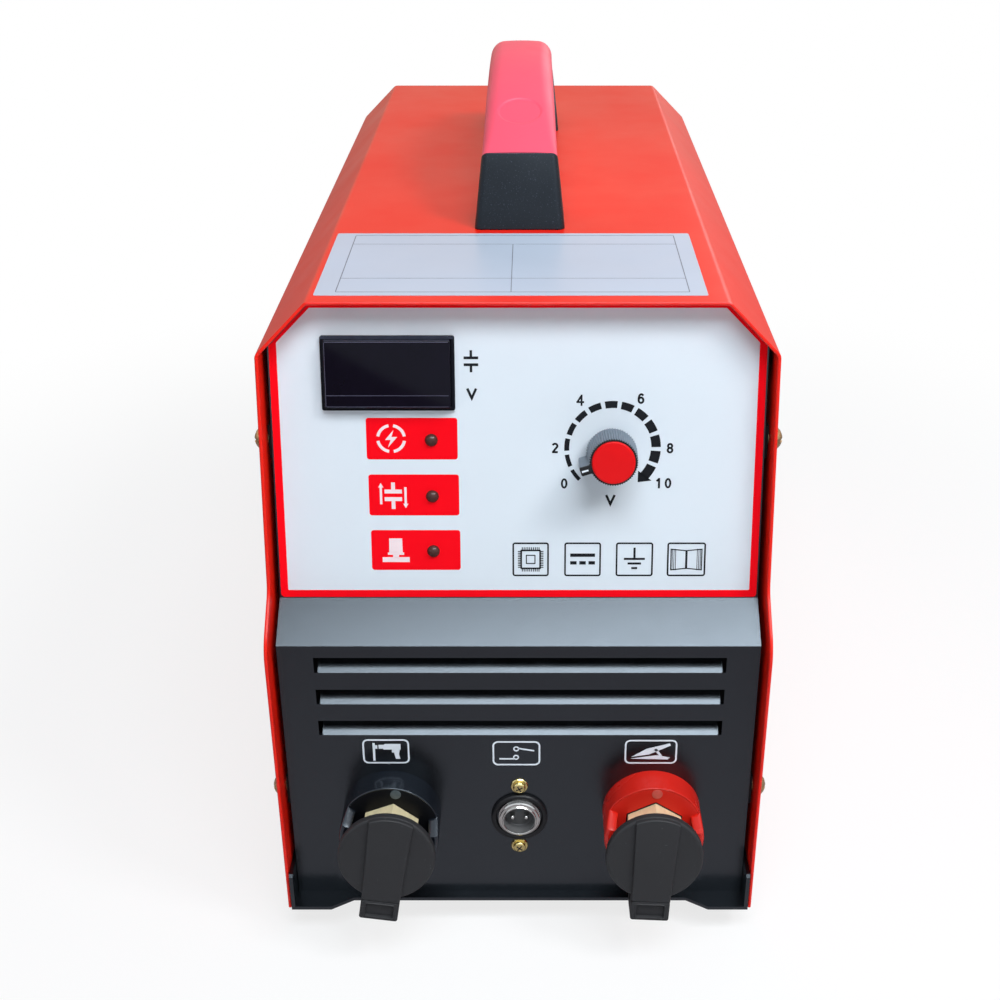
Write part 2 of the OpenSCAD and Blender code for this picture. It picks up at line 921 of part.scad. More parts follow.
// Printed board behind the leaning panel, with its relays and chips on the back
module control_board() {
    color(board_green) on_lean(0, board_h / 2, -board_face - board_t) {
        difference() {
            block([board_w, board_h, board_t]);
            for (x = [-1, 1])
                for (y = [-1, 1])
                    translate([x * (board_w / 2 - standoff_inset), y * (board_h / 2 - standoff_inset), 0])
                        translate([0, 0, -overrun]) cylinder(h = board_t + 2 * overrun, r = m3_r + fit_gap);
        }
        for (i = [-1, 0, 1])
            translate([i * relay_pitch, relay_l - board_h / 2, -relay_t]) block([relay_w, relay_h, relay_t]);
        for (i = [-1, 1])
            translate([i * relay_pitch / 2, chip_l - board_h / 2, -chip_t]) block([chip_w, chip_h, chip_t]);
    }
}

module board_standoffs() {
    color(steel) at_board_corners() {
        translate([0, 0, -board_face]) hex(standoff_flats, standoff_l);
        translate([0, 0, -board_face - board_t]) cylinder(h = board_t + overrun, r = m3_r);
        translate([0, 0, -board_face - board_t]) rotate([180, 0, 0])
            screw(m3_r, 0, barrel_head_r, barrel_head_h);
    }
}

module potentiometer_body() {
    color(steel) on_lean(dial_x, dial_l) difference() {
        union() {
            translate([0, 0, -sheet_t - pot_depth]) cylinder(h = pot_depth, r = pot_r);
            translate([0, 0, -sheet_t - pot_depth / 2])
                cylinder(h = pot_depth / 2 + sheet_t + bushing_l, r = bushing_r);
            for (i = [-1, 0, 1])
                translate([i * pot_leg_pitch, 0, -board_face])
                    block([pot_leg_t, pot_leg_t, board_face - sheet_t - pot_depth / 2]);
        }
        translate([0, 0, -shaft_depth - fit_gap])
            cylinder(h = shaft_depth + bushing_l + overrun, r = shaft_r + run_gap);
    }
}

module potentiometer_nut() {
    color(steel) on_lean(dial_x, dial_l, film_t) hex_nut(pot_nut_flats, pot_nut_h, bushing_r + run_gap);
}

// The knob's frame: z outward along its shaft, x along its pointer at rest
module on_knob() {
    on_lean(dial_x, dial_l) rotate([0, 0, knob_rest]) children();
}

module potentiometer_shaft() {
    color(steel) on_knob() translate([0, 0, -shaft_depth]) cylinder(h = shaft_depth + shaft_l, r = shaft_r);
}

module knob_body() {
    foot = film_t + knob_lift;
    color(grey_plastic) on_knob() difference() {
        union() {
            translate([0, 0, foot]) cylinder(h = knob_top - foot, r1 = knob_foot_r, r2 = knob_top_r);
            translate([pointer_reach / 2, 0, foot]) block([pointer_reach, pointer_w, knob_top - foot]);
        }
        for (i = [2:flute_count - 2])
            rotate([0, 0, i * 360 / flute_count]) translate([knob_foot_r + flute_r / 2, 0, foot + flute_r])
                cylinder(h = knob_top, r = flute_r);
        translate([0, 0, foot - overrun]) cylinder(h = knob_well_h + overrun, r = knob_well_r);
        cylinder(h = shaft_l + fit_gap, r = shaft_r + run_gap);
    }
}

// Black ring round the cap, with the pointer's face
module knob_pointer() {
    color(black_coat) on_knob() translate([0, 0, knob_top]) difference() {
        union() {
            cylinder(h = pointer_t, r = knob_top_r);
            translate([pointer_reach / 2, 0, 0]) block([pointer_reach, pointer_w, pointer_t]);
        }
        translate([0, 0, -overrun]) cylinder(h = pointer_t + 2 * overrun, r = knob_cap_r + run_gap);
    }
}

module knob_cap() {
    color(red_paint) on_knob() translate([0, 0, knob_top]) cylinder(h = knob_cap_t, r = knob_cap_r);
}

// Weld sockets

module socket_body() {
    guard = [
        [0, -socket_d], [collar_reach, -socket_d], [collar_reach, collar_low], [socket_reach, collar_high],
        [socket_reach, socket_d], [0, socket_d]];
    tongue = [
        [tongue_back, -tongue_top], [collar_reach, -tongue_top], [pivot_reach + knuckle_r, -pivot_drop],
        [pivot_reach - knuckle_r, -pivot_drop], [tongue_back, -tongue_top - tongue_root]];
    difference() {
        union() {
            difference() {
                intersection() {
                    cylinder(h = collar_reach, r = socket_r);
                    sideways(2 * socket_d) polygon(guard);
                }
                translate([0, 0, socket_reach])
                    cylinder(h = collar_reach, r = socket_r - socket_wall);
            }
            translate([0, 0, -stem_l]) cylinder(h = stem_l + dot_t, r = stem_r);
            sideways(tongue_w) polygon(tongue);
            translate([0, -pivot_drop, pivot_reach]) rod(knuckle_r, tongue_w);
            translate([0, dot_rise, 0]) cylinder(h = socket_reach + dot_t, r = dot_r);
        }
        translate([0, 0, -stem_l - overrun])
            cylinder(h = stem_l + socket_reach + overrun, r = shank_r + fit_gap);
        translate([0, -pivot_drop, pivot_reach]) rod(pivot_r + run_gap, socket_d);
        translate([0, socket_r - notch_depth, socket_reach]) rotate([-90, 0, 0])
            cylinder(h = notch_depth + overrun, r = notch_r);
    }
}

module socket_contact() {
    color(brass) difference() {
        union() {
            translate([0, 0, socket_reach]) hex(contact_flats, contact_reach - socket_reach);
            translate([0, 0, -shank_l]) cylinder(h = shank_l + socket_reach, r = shank_r);
            translate([0, 0, -shank_l - stud_l]) cylinder(h = stud_l + overrun, r = stud_r);
        }
        translate([0, 0, contact_reach - bore_depth])
            cylinder(h = bore_depth + overrun, r = contact_bore / 2);
    }
}

// A dust cap: a disc under a strap that widens upward, with a knuckle on the pin
module socket_cap() {
    cap_r = cap_d / 2;
    strap = [
        [-strap_w / 2, -strap_tail], [strap_w / 2, -strap_tail], [strap_w / 2, knuckle_r],
        [strap_top_w / 2, cap_rise + cap_r], [-strap_top_w / 2, cap_rise + cap_r], [-strap_w / 2, knuckle_r]];
    color(dark_grey) rotate([-cap_tilt, 0, 0]) difference() {
        union() {
            translate([0, cap_rise, cap_back]) cylinder(h = cap_t, r = cap_r);
            intersection() {
                translate([0, 0, cap_back]) linear_extrude(cap_t + strap_proud) polygon(strap);
                union() {
                    translate([0, cap_rise, cap_back]) cylinder(h = cap_t + strap_proud, r = cap_r);
                    translate([0, (cap_rise - strap_tail) / 2, cap_back])
                        block([cap_d, cap_rise + strap_tail, cap_t + strap_proud]);
                }
            }
            translate([0, (knuckle_r - strap_tail) / 2, 0])
                block([strap_w, knuckle_r + strap_tail, cap_front]);
            rod(knuckle_r, strap_w);
        }
        translate([0, pocket_margin + pocket_h / 2 - strap_tail, cap_front - pocket_depth])
            block([pocket_w, pocket_h, pocket_depth + overrun]);
        rod(pivot_r + run_gap, strap_w + 2 * overrun);
        rod(knuckle_r + tongue_gap, tongue_w + 2 * swing_gap);
        translate([0, knuckle_r, -overrun])
            block([tongue_w + 2 * swing_gap, 2 * knuckle_r, cap_back + overrun]);
    }
}

module black_socket_body() {
    color(black_coat) at_socket(-1) socket_body();
}

module black_socket_contact() {
    at_socket(-1) socket_contact();
}

module black_socket_cap() {
    at_pivot(-1) socket_cap();
}

module red_socket_body() {
    color(red_paint) at_socket(1) socket_body();
}

module red_socket_contact() {
    at_socket(1) socket_contact();
}

module red_socket_cap() {
    at_pivot(1) socket_cap();
}

module socket_nuts() {
    color(dark_grey)
        for (side = [-1, 1])
            on_front(weld_x(side), socket_z, -sheet_t - socket_nut_h)
                hex_nut(socket_nut_flats, socket_nut_h, stem_r + run_gap);
}

module cap_pins() {
    color(steel)
        for (side = [-1, 1])
            at_pivot(side) rod(pivot_r, strap_w - 2 * pin_inset);
}

// Control socket

module control_socket_shell() {
    color(steel) difference() {
        on_front(0, barrel_z) {
            translate([0, 0, -barrel_depth]) cylinder(h = barrel_depth + barrel_thread, r = barrel_d / 2);
            cylinder(h = barrel_reach, r = barrel_lip_r);
            translate([0, 0, -sheet_t - ear_t]) {
                cylinder(h = ear_t, r = ring_d / 2);
                block([2 * ear_r, barrel_screw_pitch, ear_t]);
                for (side = [-1, 1])
                    translate([0, side * barrel_screw_pitch / 2, 0]) cylinder(h = ear_t, r = ear_r);
            }
        }
        on_front(0, barrel_z, barrel_reach) hole(barrel_d / 2 - barrel_wall, barrel_depth + barrel_reach);
        at_barrel_screws() hole(m3_r + run_gap, barrel_shank);
    }
}

module control_socket_ring() {
    inner = barrel_d / 2 + ring_gap;
    outer = ring_d / 2;
    color(black_coat) on_front(0, barrel_z) rotate_extrude()
        polygon([[inner, 0], [outer, 0], [outer, ring_t - ring_bevel], [outer - ring_bevel, ring_t],
            [inner + ring_bevel, ring_t], [inner, ring_t - ring_bevel]]);
}

module control_socket_insert() {
    inner = barrel_d / 2 - barrel_wall - run_gap;
    color(dark_grey) on_front(0, barrel_z, insert_face) difference() {
        union() {
            translate([0, 0, -insert_l]) cylinder(h = insert_l, r = inner);
            intersection() {
                translate([0, inner - key_h / 2, 0]) block([key_w, key_h, key_l]);
                cylinder(h = key_l, r = inner);
            }
        }
        for (side = [-1, 1])
            translate([side * pin_pitch / 2, 0, 0]) hole(pin_r + run_gap, insert_l);
    }
}

module control_socket_pins() {
    color(steel)
        for (side = [-1, 1])
            on_front(side * pin_pitch / 2, barrel_z, insert_face - insert_l - pin_tail) {
                cylinder(h = insert_l + pin_tail + pin_proud, r = pin_r);
                translate([0, 0, insert_l + pin_tail + pin_proud]) sphere(r = pin_r);
            }
}

module control_socket_screws() {
    color(brass) at_barrel_screws() screw(m3_r, barrel_shank, barrel_head_r, barrel_head_h);
}

// Handle

module handle_post() {
    inner_r = arch_r - grip_t;
    side_view = [
        [handle_y, case_h], [handle_y + post_slope, case_h + post_rise],
        [handle_mid - inner_r * sin(arch_angle), arch_z + inner_r * cos(arch_angle)],
        [handle_y + post_foot_len, case_h]];
    front_view = [
        [-post_foot_w / 2, case_h], [post_foot_w / 2, case_h],
        [post_top_w / 2, case_h + post_rise], [-post_top_w / 2, case_h + post_rise]];
    intersection() {
        across(post_foot_w) polygon(side_view);
        along(handle_mid) polygon(front_view);
    }
}

module handle_front_post() {
    color(black_coat) difference() {
        in_case() handle_post();
        at_handle_screws() translate([0, 0, post_screw_l]) hole(m5_r + run_gap, post_screw_l);
    }
}

module handle_rear_post() {
    color(black_coat) difference() {
        in_case() translate([0, 2 * handle_mid, 0]) mirror([0, 1, 0]) handle_post();
        at_handle_screws() translate([0, 0, post_screw_l]) hole(m5_r + run_gap, post_screw_l);
    }
}

module handle_grip() {
    color(red_paint) in_case() translate([0, handle_mid, arch_z])
        rotate([90, 0, 90]) rotate([0, 0, 90 - arch_angle]) rotate_extrude(angle = 2 * arch_angle)
            translate([arch_r - grip_t / 2, 0]) polygon(rounded_box(grip_t, grip_w, grip_corner));
}

module handle_screws() {
    color(steel) at_handle_screws() rotate([180, 0, 0])
        screw(m5_r, post_screw_l - fit_gap, post_head_r, post_head_h);
}

// Rear fittings

module on_fan() {
    on_rear(0, fan_z, -sheet_t - fan_t) children();
}

module fan_frame() {
    bore_r = fan_w * fan_bore_share / 2;
    color(black_coat) difference() {
        on_fan() difference() {
            union() {
                difference() {
                    block([fan_w, fan_w, fan_t]);
                    translate([0, 0, -overrun]) cylinder(h = fan_t + 2 * overrun, r = bore_r);
                }
                cylinder(h = boss_t, r = hub_r);
                cylinder(h = fan_t - hub_wall - rotor_gap - hub_gap, r = tube_r);
                for (i = [0:strut_count - 1])
                    rotate([0, 0, i * 360 / strut_count]) translate([bore_r / 2, 0, 0])
                        block([bore_r + overrun, strut_w, boss_t]);
            }
            translate([0, 0, boss_t / 2]) cylinder(h = fan_t, r = axle_r + run_gap);
        }
        at_fan_corners() hole(m4_r + run_gap, sheet_t + fan_t);
    }
}

module fan_rotor() {
    tip_r = fan_w * fan_bore_share / 2 - tip_gap;
    low = boss_t + hub_gap;
    high = fan_t - rotor_gap;
    color(dark_grey) on_fan() {
        difference() {
            translate([0, 0, low]) cylinder(h = high - low, r = hub_r);
            translate([0, 0, low - overrun])
                cylinder(h = high - hub_wall - low + overrun, r = tube_r + tube_gap);
        }
        translate([0, 0, boss_t]) cylinder(h = high - boss_t, r = axle_r);
        for (i = [0:blade_count - 1])
            rotate([0, 0, i * 360 / blade_count]) intersection() {
                translate([(hub_r + tip_r) / 2, 0, (low + high) / 2]) rotate([blade_pitch, 0, 0])
                    cube([tip_r - hub_r + 2 * overrun, blade_t, blade_chord], center = true);
                tube(tip_r, hub_r - hub_wall, fan_t);
            }
    }
}

module fan_guard() {
    bore_r = fan_w * fan_bore_share / 2;
    corner_r = fan_w * fan_hole_share / sqrt(2);
    color(steel) on_rear(0, fan_z, eye_t / 2) difference() {
        union() {
            for (share = guard_ring_shares)
                rotate_extrude() translate([bore_r * share, ring_lift]) circle(r = wire_r);
            for (turn = [45, 135])
                rotate([0, 0, turn]) rod(wire_r, 2 * corner_r);
            for (turn = [45, 135, 225, 315])
                rotate([0, 0, turn]) translate([corner_r, 0, -eye_t / 2]) cylinder(h = eye_t, r = eye_r);
        }
        for (turn = [45, 135, 225, 315])
            rotate([0, 0, turn]) translate([corner_r, 0, eye_t / 2]) hole(m4_r + fit_gap, eye_t);
    }
}

module fan_screws() {
    color(steel) at_fan_corners() translate([0, 0, eye_t]) screw(m4_r, fan_shank, fan_head_r, fan_head_h);
}

module switch_body() {
    well_w = rocker_w + 2 * swing_gap;
    color(black_coat) on_rear(switch_x, switch_z) difference() {
        union() {
            block([switch_w, switch_h, switch_rim]);
            translate([0, 0, -switch_depth])
                block([switch_w - 2 * switch_lip, switch_h - 2 * switch_lip, switch_depth + switch_rim / 2]);
        }
        translate([0, 0, -rocker_well_depth])
            block([well_w, rocker_len + 2 * rocker_play, rocker_well_depth + switch_rim + overrun]);
        translate([0, 0, -rocker_axis]) rod(rocker_axle_r + run_gap, well_w + 2 * rocker_axle_l);
    }
}

module switch_rocker() {
    half = rocker_len / 2;
    side_view = [
        [rocker_axis + rocker_dip, 0], [rocker_axis + rocker_peak, half], [0, half],
        [-rocker_back, half * rocker_foot_share], [-rocker_back, -half * rocker_foot_share],
        [0, -half], [rocker_axis + rocker_peak, -half]];
    color(red_paint) on_rear(switch_x, switch_z, -rocker_axis) rotate([rocker_tilt, 0, 0]) {
        sideways(rocker_w) polygon(side_view);
        rod(rocker_axle_r, rocker_w + 2 * rocker_axle_l);
    }
}

module cable_gland() {
    color(black_coat) on_rear(gland_x, gland_z) difference() {
        union() {
            translate([0, 0, -gland_thread_l])
                cylinder(h = gland_thread_l + gland_hex_h / 3, r = gland_thread_r);
            hex(gland_flats, gland_hex_h);
            translate([0, 0, gland_hex_h / 2])
                cylinder(h = gland_hex_h / 2 + gland_dome_l - gland_dome_bevel, r = gland_dome_r);
            translate([0, 0, gland_hex_h + gland_dome_l - gland_dome_bevel])
                cylinder(h = gland_dome_bevel, r1 = gland_dome_r, r2 = gland_dome_r - gland_dome_bevel);
        }
        translate([0, 0, gland_hex_h + gland_dome_l])
            hole(gland_bore_r, gland_hex_h + gland_dome_l + gland_thread_l);
    }
}

module gland_nut() {
    color(black_coat) on_rear(gland_x, gland_z, -sheet_t - gland_nut_h)
        hex_nut(gland_flats, gland_nut_h, gland_thread_r + run_gap);
}

module earth_stud() {
    color(steel) on_rear(earth_x, earth_z, -sheet_t) {
        translate([0, 0, -m6_head_h]) hex(m6_flats, m6_head_h);
        translate([0, 0, -m6_head_h / 2]) cylinder(h = m6_head_h / 2 + sheet_t + earth_l, r = m6_r);
    }
}

module earth_nuts() {
    color(brass)
        for (i = [0, 1])
            on_rear(earth_x, earth_z, i * m6_nut_h) hex_nut(m6_flats, m6_nut_h, m6_r + run_gap);
}

// Works on the tray

module capacitors() {
    color([0.16, 0.22, 0.34]) difference() {
        union() {
            at_cans() cylinder(h = can_h, r = can_d / 2);
            at_terminals() cylinder(h = terminal_h, r = terminal_r);
        }
        at_terminals() translate([0, 0, terminal_h]) hole(m5_r + run_gap, bar_shank);
    }
}

// Insulating plate that keeps the capacitors apart
module capacitor_plate() {
    length = bank_rows * bank_pitch + 2 * plate_end;
    color([0.80, 0.72, 0.45]) difference() {
        on_floor(0, bank_y + (bank_rows - 1) / 2 * bank_pitch, plate_z) block([plate_w, length, plate_t]);
        at_cans() translate([0, 0, can_h]) hole(can_d / 2 + fit_gap, can_h);
        at_plate_posts() translate([0, 0, can_h]) hole(m4_r + fit_gap, can_h);
    }
}

module plate_posts() {
    color(steel) at_plate_posts() {
        cylinder(h = plate_z, r = post_r);
        cylinder(h = plate_z + plate_t, r = m4_r);
        translate([0, 0, plate_z + plate_t]) cylinder(h = m4_nut_h, r = post_r);
    }
}

// Outer bars run forward and down to the weld sockets; the inner plate joins the two rows
module busbars() {
    bar_x = bank_x + terminal_pitch / 2;
    link_x = bank_x - terminal_pitch / 2;
    rear = bank_y + (bank_rows - 1) * bank_pitch + bar_end;
    link_len = (bank_rows - 1) * bank_pitch + 2 * bar_end;
    bend = [
        [lug_face, socket_z - lug_drop], [lug_face, terminal_top + bar_t], [rear, terminal_top + bar_t]];
    color(copper) difference() {
        union() {
            for (side = [-1, 1])
                in_case() translate([side * bar_x, 0, 0]) across(bar_w) polygon(band(bend, bar_t));
            for (side = [-1, 1])
                in_case() translate([side * bar_x, lug_face + bar_t / 2, socket_z])
                    rotate([90, 0, 0]) translate([0, 0, -bar_t / 2]) cylinder(h = bar_t, r = lug_drop);
            in_case() translate([0, bank_y + (bank_rows - 1) / 2 * bank_pitch, terminal_top]) {
                for (side = [-1, 1])
                    translate([side * link_x, 0, 0]) block([bar_w, link_len, bar_t]);
                block([2 * link_x, bar_w, bar_t]);
            }
        }
        for (side = [-1, 1])
            on_front(weld_x(side), socket_z) hole(stud_r + fit_gap, shank_l + stud_l);
        at_terminals() translate([0, 0, terminal_h + bar_t]) hole(m5_r + fit_gap, bar_t);
    }
}

module bar_fasteners() {
    color(brass) {
        for (side = [-1, 1])
            on_front(weld_x(side), socket_z, -shank_l - bar_t - contact_nut_h)
                hex_nut(contact_nut_flats, contact_nut_h, stud_r + run_gap);
        at_terminals() translate([0, 0, terminal_h + bar_t]) {
            cylinder(h = bar_screw_h, r = bar_screw_r);
            translate([0, 0, -bar_t - bar_shank + fit_gap])
                cylinder(h = bar_t + bar_shank, r = m5_r);
        }
    }
}

// Charging transformer: a core with two windows and one coil on its middle limb
module transformer_core() {
    window_w = (core_w - limb_w) / 2 - yoke_h;
    color(steel) on_floor(0, core_y) translate([0, -core_t / 2, 0]) difference() {
        along(core_t) polygon(arch(core_w, core_h, 0));
        for (side = [-1, 1])
            translate([side * (limb_w + window_w) / 2, -overrun, yoke_h]) along(core_t + 2 * overrun)
                polygon(arch(window_w, core_h - 2 * yoke_h, 0));
    }
}

module transformer_winding() {
    window_w = (core_w - limb_w) / 2 - yoke_h;
    outer_w = limb_w + 2 * window_w - 2 * coil_gap;
    height = core_h - 2 * yoke_h - 2 * coil_gap;
    color(copper) on_floor(0, core_y, yoke_h + coil_gap) difference() {
        linear_extrude(height) polygon(rounded_box(outer_w, core_t + 2 * coil_end, coil_end));
        translate([0, 0, -overrun])
            block([limb_w + 2 * coil_gap, core_t + 2 * coil_gap, height + 2 * overrun]);
    }
}

module heatsink() {
    step = (sink_w - fin_t) / (fin_count - 1);
    color(steel) on_floor(0, sink_y) {
        translate([0, 0, sink_h - sink_base]) block([sink_w, sink_len, sink_base]);
        for (i = [0:fin_count - 1])
            translate([i * step - (sink_w - fin_t) / 2, 0, 0])
                block([fin_t, sink_len, sink_h - sink_base / 2]);
    }
}

module thyristor_module() {
    color(dark_grey) on_floor(thyristor_x, sink_y, sink_h) block([thyristor_w, thyristor_len, thyristor_h]);
}

module bridge_rectifier() {
    color(black_coat) on_floor(bridge_x, sink_y, sink_h) block([bridge_w, bridge_w, bridge_h]);
}

module discharge_resistor() {
    color(brass) on_floor(resistor_x, core_y) {
        block([resistor_w, resistor_len, resistor_h]);
        translate([0, -resistor_len / 2 - resistor_end, resistor_h / 2]) rotate([-90, 0, 0])
            cylinder(h = resistor_len + 2 * resistor_end, r = resistor_core_r);
    }
}

base_tray();
front_panel();
louvre_baffle();
rear_panel();
cover();
cover_screws();
clip_nuts();
rubber_feet();
foot_fasteners();
panel_overlay();
meter_bezel();
meter_lens();
meter_board();
indicator_leds();
control_board();
board_standoffs();
potentiometer_body();
potentiometer_nut();
potentiometer_shaft();
knob_body();
knob_pointer();
knob_cap();
black_socket_body();
black_socket_contact();
black_socket_cap();
red_socket_body();
red_socket_contact();
red_socket_cap();
socket_nuts();
cap_pins();
control_socket_shell();
control_socket_ring();
control_socket_insert();
control_socket_pins();
control_socket_screws();
handle_front_post();
handle_rear_post();
handle_grip();
handle_screws();
fan_frame();
fan_rotor();
fan_guard();
fan_screws();
switch_body();
switch_rocker();
cable_gland();
gland_nut();
earth_stud();
earth_nuts();
capacitors();
capacitor_plate();
plate_posts();
busbars();
bar_fasteners();
transformer_core();
transformer_winding();
heatsink();
thyristor_module();
bridge_rectifier();
discharge_resistor();
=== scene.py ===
import math

import bmesh
import bpy
import numpy as np
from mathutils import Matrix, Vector


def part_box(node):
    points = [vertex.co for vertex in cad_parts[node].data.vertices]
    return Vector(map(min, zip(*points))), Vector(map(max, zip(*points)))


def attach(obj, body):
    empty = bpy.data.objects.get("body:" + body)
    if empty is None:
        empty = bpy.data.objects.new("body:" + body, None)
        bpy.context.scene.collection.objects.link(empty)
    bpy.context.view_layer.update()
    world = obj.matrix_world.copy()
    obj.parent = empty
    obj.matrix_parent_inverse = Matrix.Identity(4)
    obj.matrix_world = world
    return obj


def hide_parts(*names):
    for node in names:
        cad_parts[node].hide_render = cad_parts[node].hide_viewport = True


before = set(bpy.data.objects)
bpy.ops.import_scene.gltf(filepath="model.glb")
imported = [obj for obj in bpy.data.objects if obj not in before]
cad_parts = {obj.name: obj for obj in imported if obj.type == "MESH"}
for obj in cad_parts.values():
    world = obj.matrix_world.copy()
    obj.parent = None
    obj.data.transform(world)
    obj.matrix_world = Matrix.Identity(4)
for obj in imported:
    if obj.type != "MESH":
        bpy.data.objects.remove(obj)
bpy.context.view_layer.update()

# Sizes in millimetres, the main ones as in the part's source: the case, its bent front edge and the air slots
MM = 0.001
CASE_W, CASE_H, CASE_LEN = 185.0, 242.0, 407.0
CHAMFER, COVER_T, RECESS = 18.4, 1.2, 8.0
BULGE_Z, BULGE_R, KNEE_Y, KNEE_Z, KNEE_R = 122.0, 14.0, 16.7, 137.0, 9.0
LEAN = math.radians(10.7)
LEAN_Y = KNEE_Y + RECESS * math.cos(LEAN)
LEAN_Z = KNEE_Z - RECESS * math.sin(LEAN)
SLOT_X, SLOT_Z, SLOT_W, SLOT_H, SLOT_PITCH = 0.5, 82.2, 153.0, 6.6, 14.2

# The leaning panel: its film, the prints' feet and tops above its base, and places across and up its face
PANEL_HALF, PANEL_TOP_Z, PANEL_CHAMFER, PANEL_GAP = 88.7, 240.6, 15.997, 0.6
FILM_T, LENS_RISE = 0.25, 3.6
LOW, HIGH = FILM_T - 0.03, FILM_T + 0.05
METER, DIAL, KNOB_AT = (-46.5, 80.4), (34.15, 52.65), (33.8, 51.2)
KNOB_REST = math.radians(197.0)
KNOB_FOOT, RIM_LOW, RIM_HIGH = 1.05, 14.4, 15.3

# Weld sockets, their caps, and the control socket
SOCKET_X, BLACK_INSET, SOCKET_Z, SOCKET_REACH, CONTACT_REACH = 51.5, 1.9, 43.0, 10.7, 19.4
SOCKET_R, COLLAR_REACH, COLLAR_T, RAIL_TOP, RAIL_END = 19.0, 18.0, 3.9, 7.8, 4.5
SOCKET_BORE_R, STEM_R, STEM_END, HEX_SIZE, HEX_SHADOW_R = 9.1, 14.8, -14.0, 20.5, 12.35
TURNS = {"black": math.radians(8.7), "red": math.radians(3.1)}
PIVOT_DROP, CAP_TILT, CAP_BACK, CAP_T, CAP_FRONT = 26.0, math.radians(5.5), 3.4, 3.6, 8.5
CAP_R, CAP_RISE, STRAP_W, STRAP_TOP_W, STRAP_TAIL = 18.5, 21.9, 14.8, 17.0, 5.3
KNUCKLE_R, PIN_BORE_R, TONGUE_HALF, LUG_START = 4.6, 2.05, 3.3, 3.65
PIVOT_REACH = CONTACT_REACH + (
    (HEX_SIZE / math.sqrt(3) + PIVOT_DROP) * math.sin(CAP_TILT) - CAP_BACK + 0.05) / math.cos(CAP_TILT)
CONTROL_AT, PIN_BED, PIN_RISE = (0, 40), -1.4, 2.2

# Handle
HANDLE_Y, HANDLE_MID, POST_RISE, POST_SLOPE = 122.0, 222.0, 29.0, 9.0
POST_W, POST_LEN, POST_TOP_W = 36.2, 30.0, 30.0
GRIP_T, GRIP_HALF, GRIP_W, GRIP_FLARE, CROWN = 22.0, 14.0, 27.4, 2.8, 0.9
ARCH_R, ARCH_Z, ARCH_HALF = 172.25, 124.75, 91.0
ARCH_ANGLE = math.asin(ARCH_HALF / ARCH_R)
DIMPLE_AT, DIMPLE_R, DIMPLE_WALL, DIMPLE_DEPTH = 69.5, 9.1, 0.9, 0.55

# The cover's lower front corner is the origin of the case frame
cover_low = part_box("cover")[0]
CASE_ORIGIN = np.array([0.0, cover_low[1], cover_low[2]])


# Frames: an origin and three axes in the case frame

def within(where, shift, turn=0.0, tip=0.0):
    """A frame moved by shift along the axes of where, turned about its z axis and then tipped about its x axis."""
    origin, axes = where
    c, s = math.cos(turn), math.sin(turn)
    spun = np.array([[c, s, 0], [-s, c, 0], [0, 0, 1]]) @ axes
    c, s = math.cos(tip), math.sin(tip)
    return origin + np.array(shift, float) @ axes, np.array([[1, 0, 0], [0, c, s], [0, -s, c]]) @ spun


CASE = (np.zeros(3), np.eye(3))
FRONT = (np.array([0, RECESS, 0]), np.array([[1.0, 0, 0], [0, 0, 1], [0, -1, 0]]))
LEANING = (
    np.array([0, LEAN_Y, LEAN_Z]),
    np.array([[1.0, 0, 0], [0, math.sin(LEAN), math.cos(LEAN)], [0, -math.cos(LEAN), math.sin(LEAN)]]))
KNOB = within(LEANING, (*KNOB_AT, 0), KNOB_REST)
SOCKETS = {
    "black": within(FRONT, (BLACK_INSET - SOCKET_X, SOCKET_Z, 0), -TURNS["black"]),
    "red": within(FRONT, (SOCKET_X, SOCKET_Z, 0), -TURNS["red"])}


def put(where, *solids):
    """Solids of a frame, in millimetres, as metres in the shared frame: origin plus each number times its axis."""
    origin, axes = where
    return [((np.asarray(p, float) @ axes + origin) * MM + CASE_ORIGIN, groups) for p, groups in solids]


# Outlines

def around(count):
    """Angles of a full turn in even steps."""
    return np.linspace(0, 2 * np.pi, count, endpoint=False)


def rounded(corners, radius, steps=7):
    """Closed outline whose corners are arcs: each arc runs between the points where a circle of the given
    radius touches the two sides, and is swept evenly between its two end directions."""
    c = np.asarray(corners, float)
    r = np.maximum(np.broadcast_to(np.asarray(radius, float), len(c)), 1e-4)[:, None]
    a, b = np.roll(c, 1, 0) - c, np.roll(c, -1, 0) - c
    a, b = a / np.linalg.norm(a, axis=1)[:, None], b / np.linalg.norm(b, axis=1)[:, None]
    half = np.arccos(np.clip((a * b).sum(1), -1, 1))[:, None] / 2
    mid = (a + b) / np.linalg.norm(a + b, axis=1)[:, None]
    centre = c + mid * r / np.sin(half)
    start, end = c + a * r / np.tan(half) - centre, c + b * r / np.tan(half) - centre
    sweep = (np.pi - 2 * half)[:, None]
    t = np.linspace(0, 1, steps)[None, :, None]
    arc = (np.sin((1 - t) * sweep) * start[:, None] + np.sin(t * sweep) * end[:, None]) / np.sin(sweep)
    return (centre[:, None] + arc).reshape(-1, 2)


def oblong(x0, y0, x1, y1, radius=0.0, steps=7):
    """Outline of a box between two corners, with rounded corners if a radius is given."""
    corners = np.array([[x0, y0], [x1, y0], [x1, y1], [x0, y1]], float)
    return rounded(corners, radius, steps) if radius else corners


def inset(outline, depth):
    """Outline moved inwards: each point goes along the sum of its two sides' normals, scaled so that each side
    moves by depth. The outline runs anticlockwise."""
    ahead = np.roll(outline, -1, 0) - outline
    ahead = ahead / np.maximum(np.linalg.norm(ahead, axis=1), 1e-9)[:, None]
    n2 = np.stack([-ahead[:, 1], ahead[:, 0]], 1)
    n1 = np.roll(n2, 1, 0)
    return outline + depth * (n1 + n2) / (1 + (n1 * n2).sum(1))[:, None]


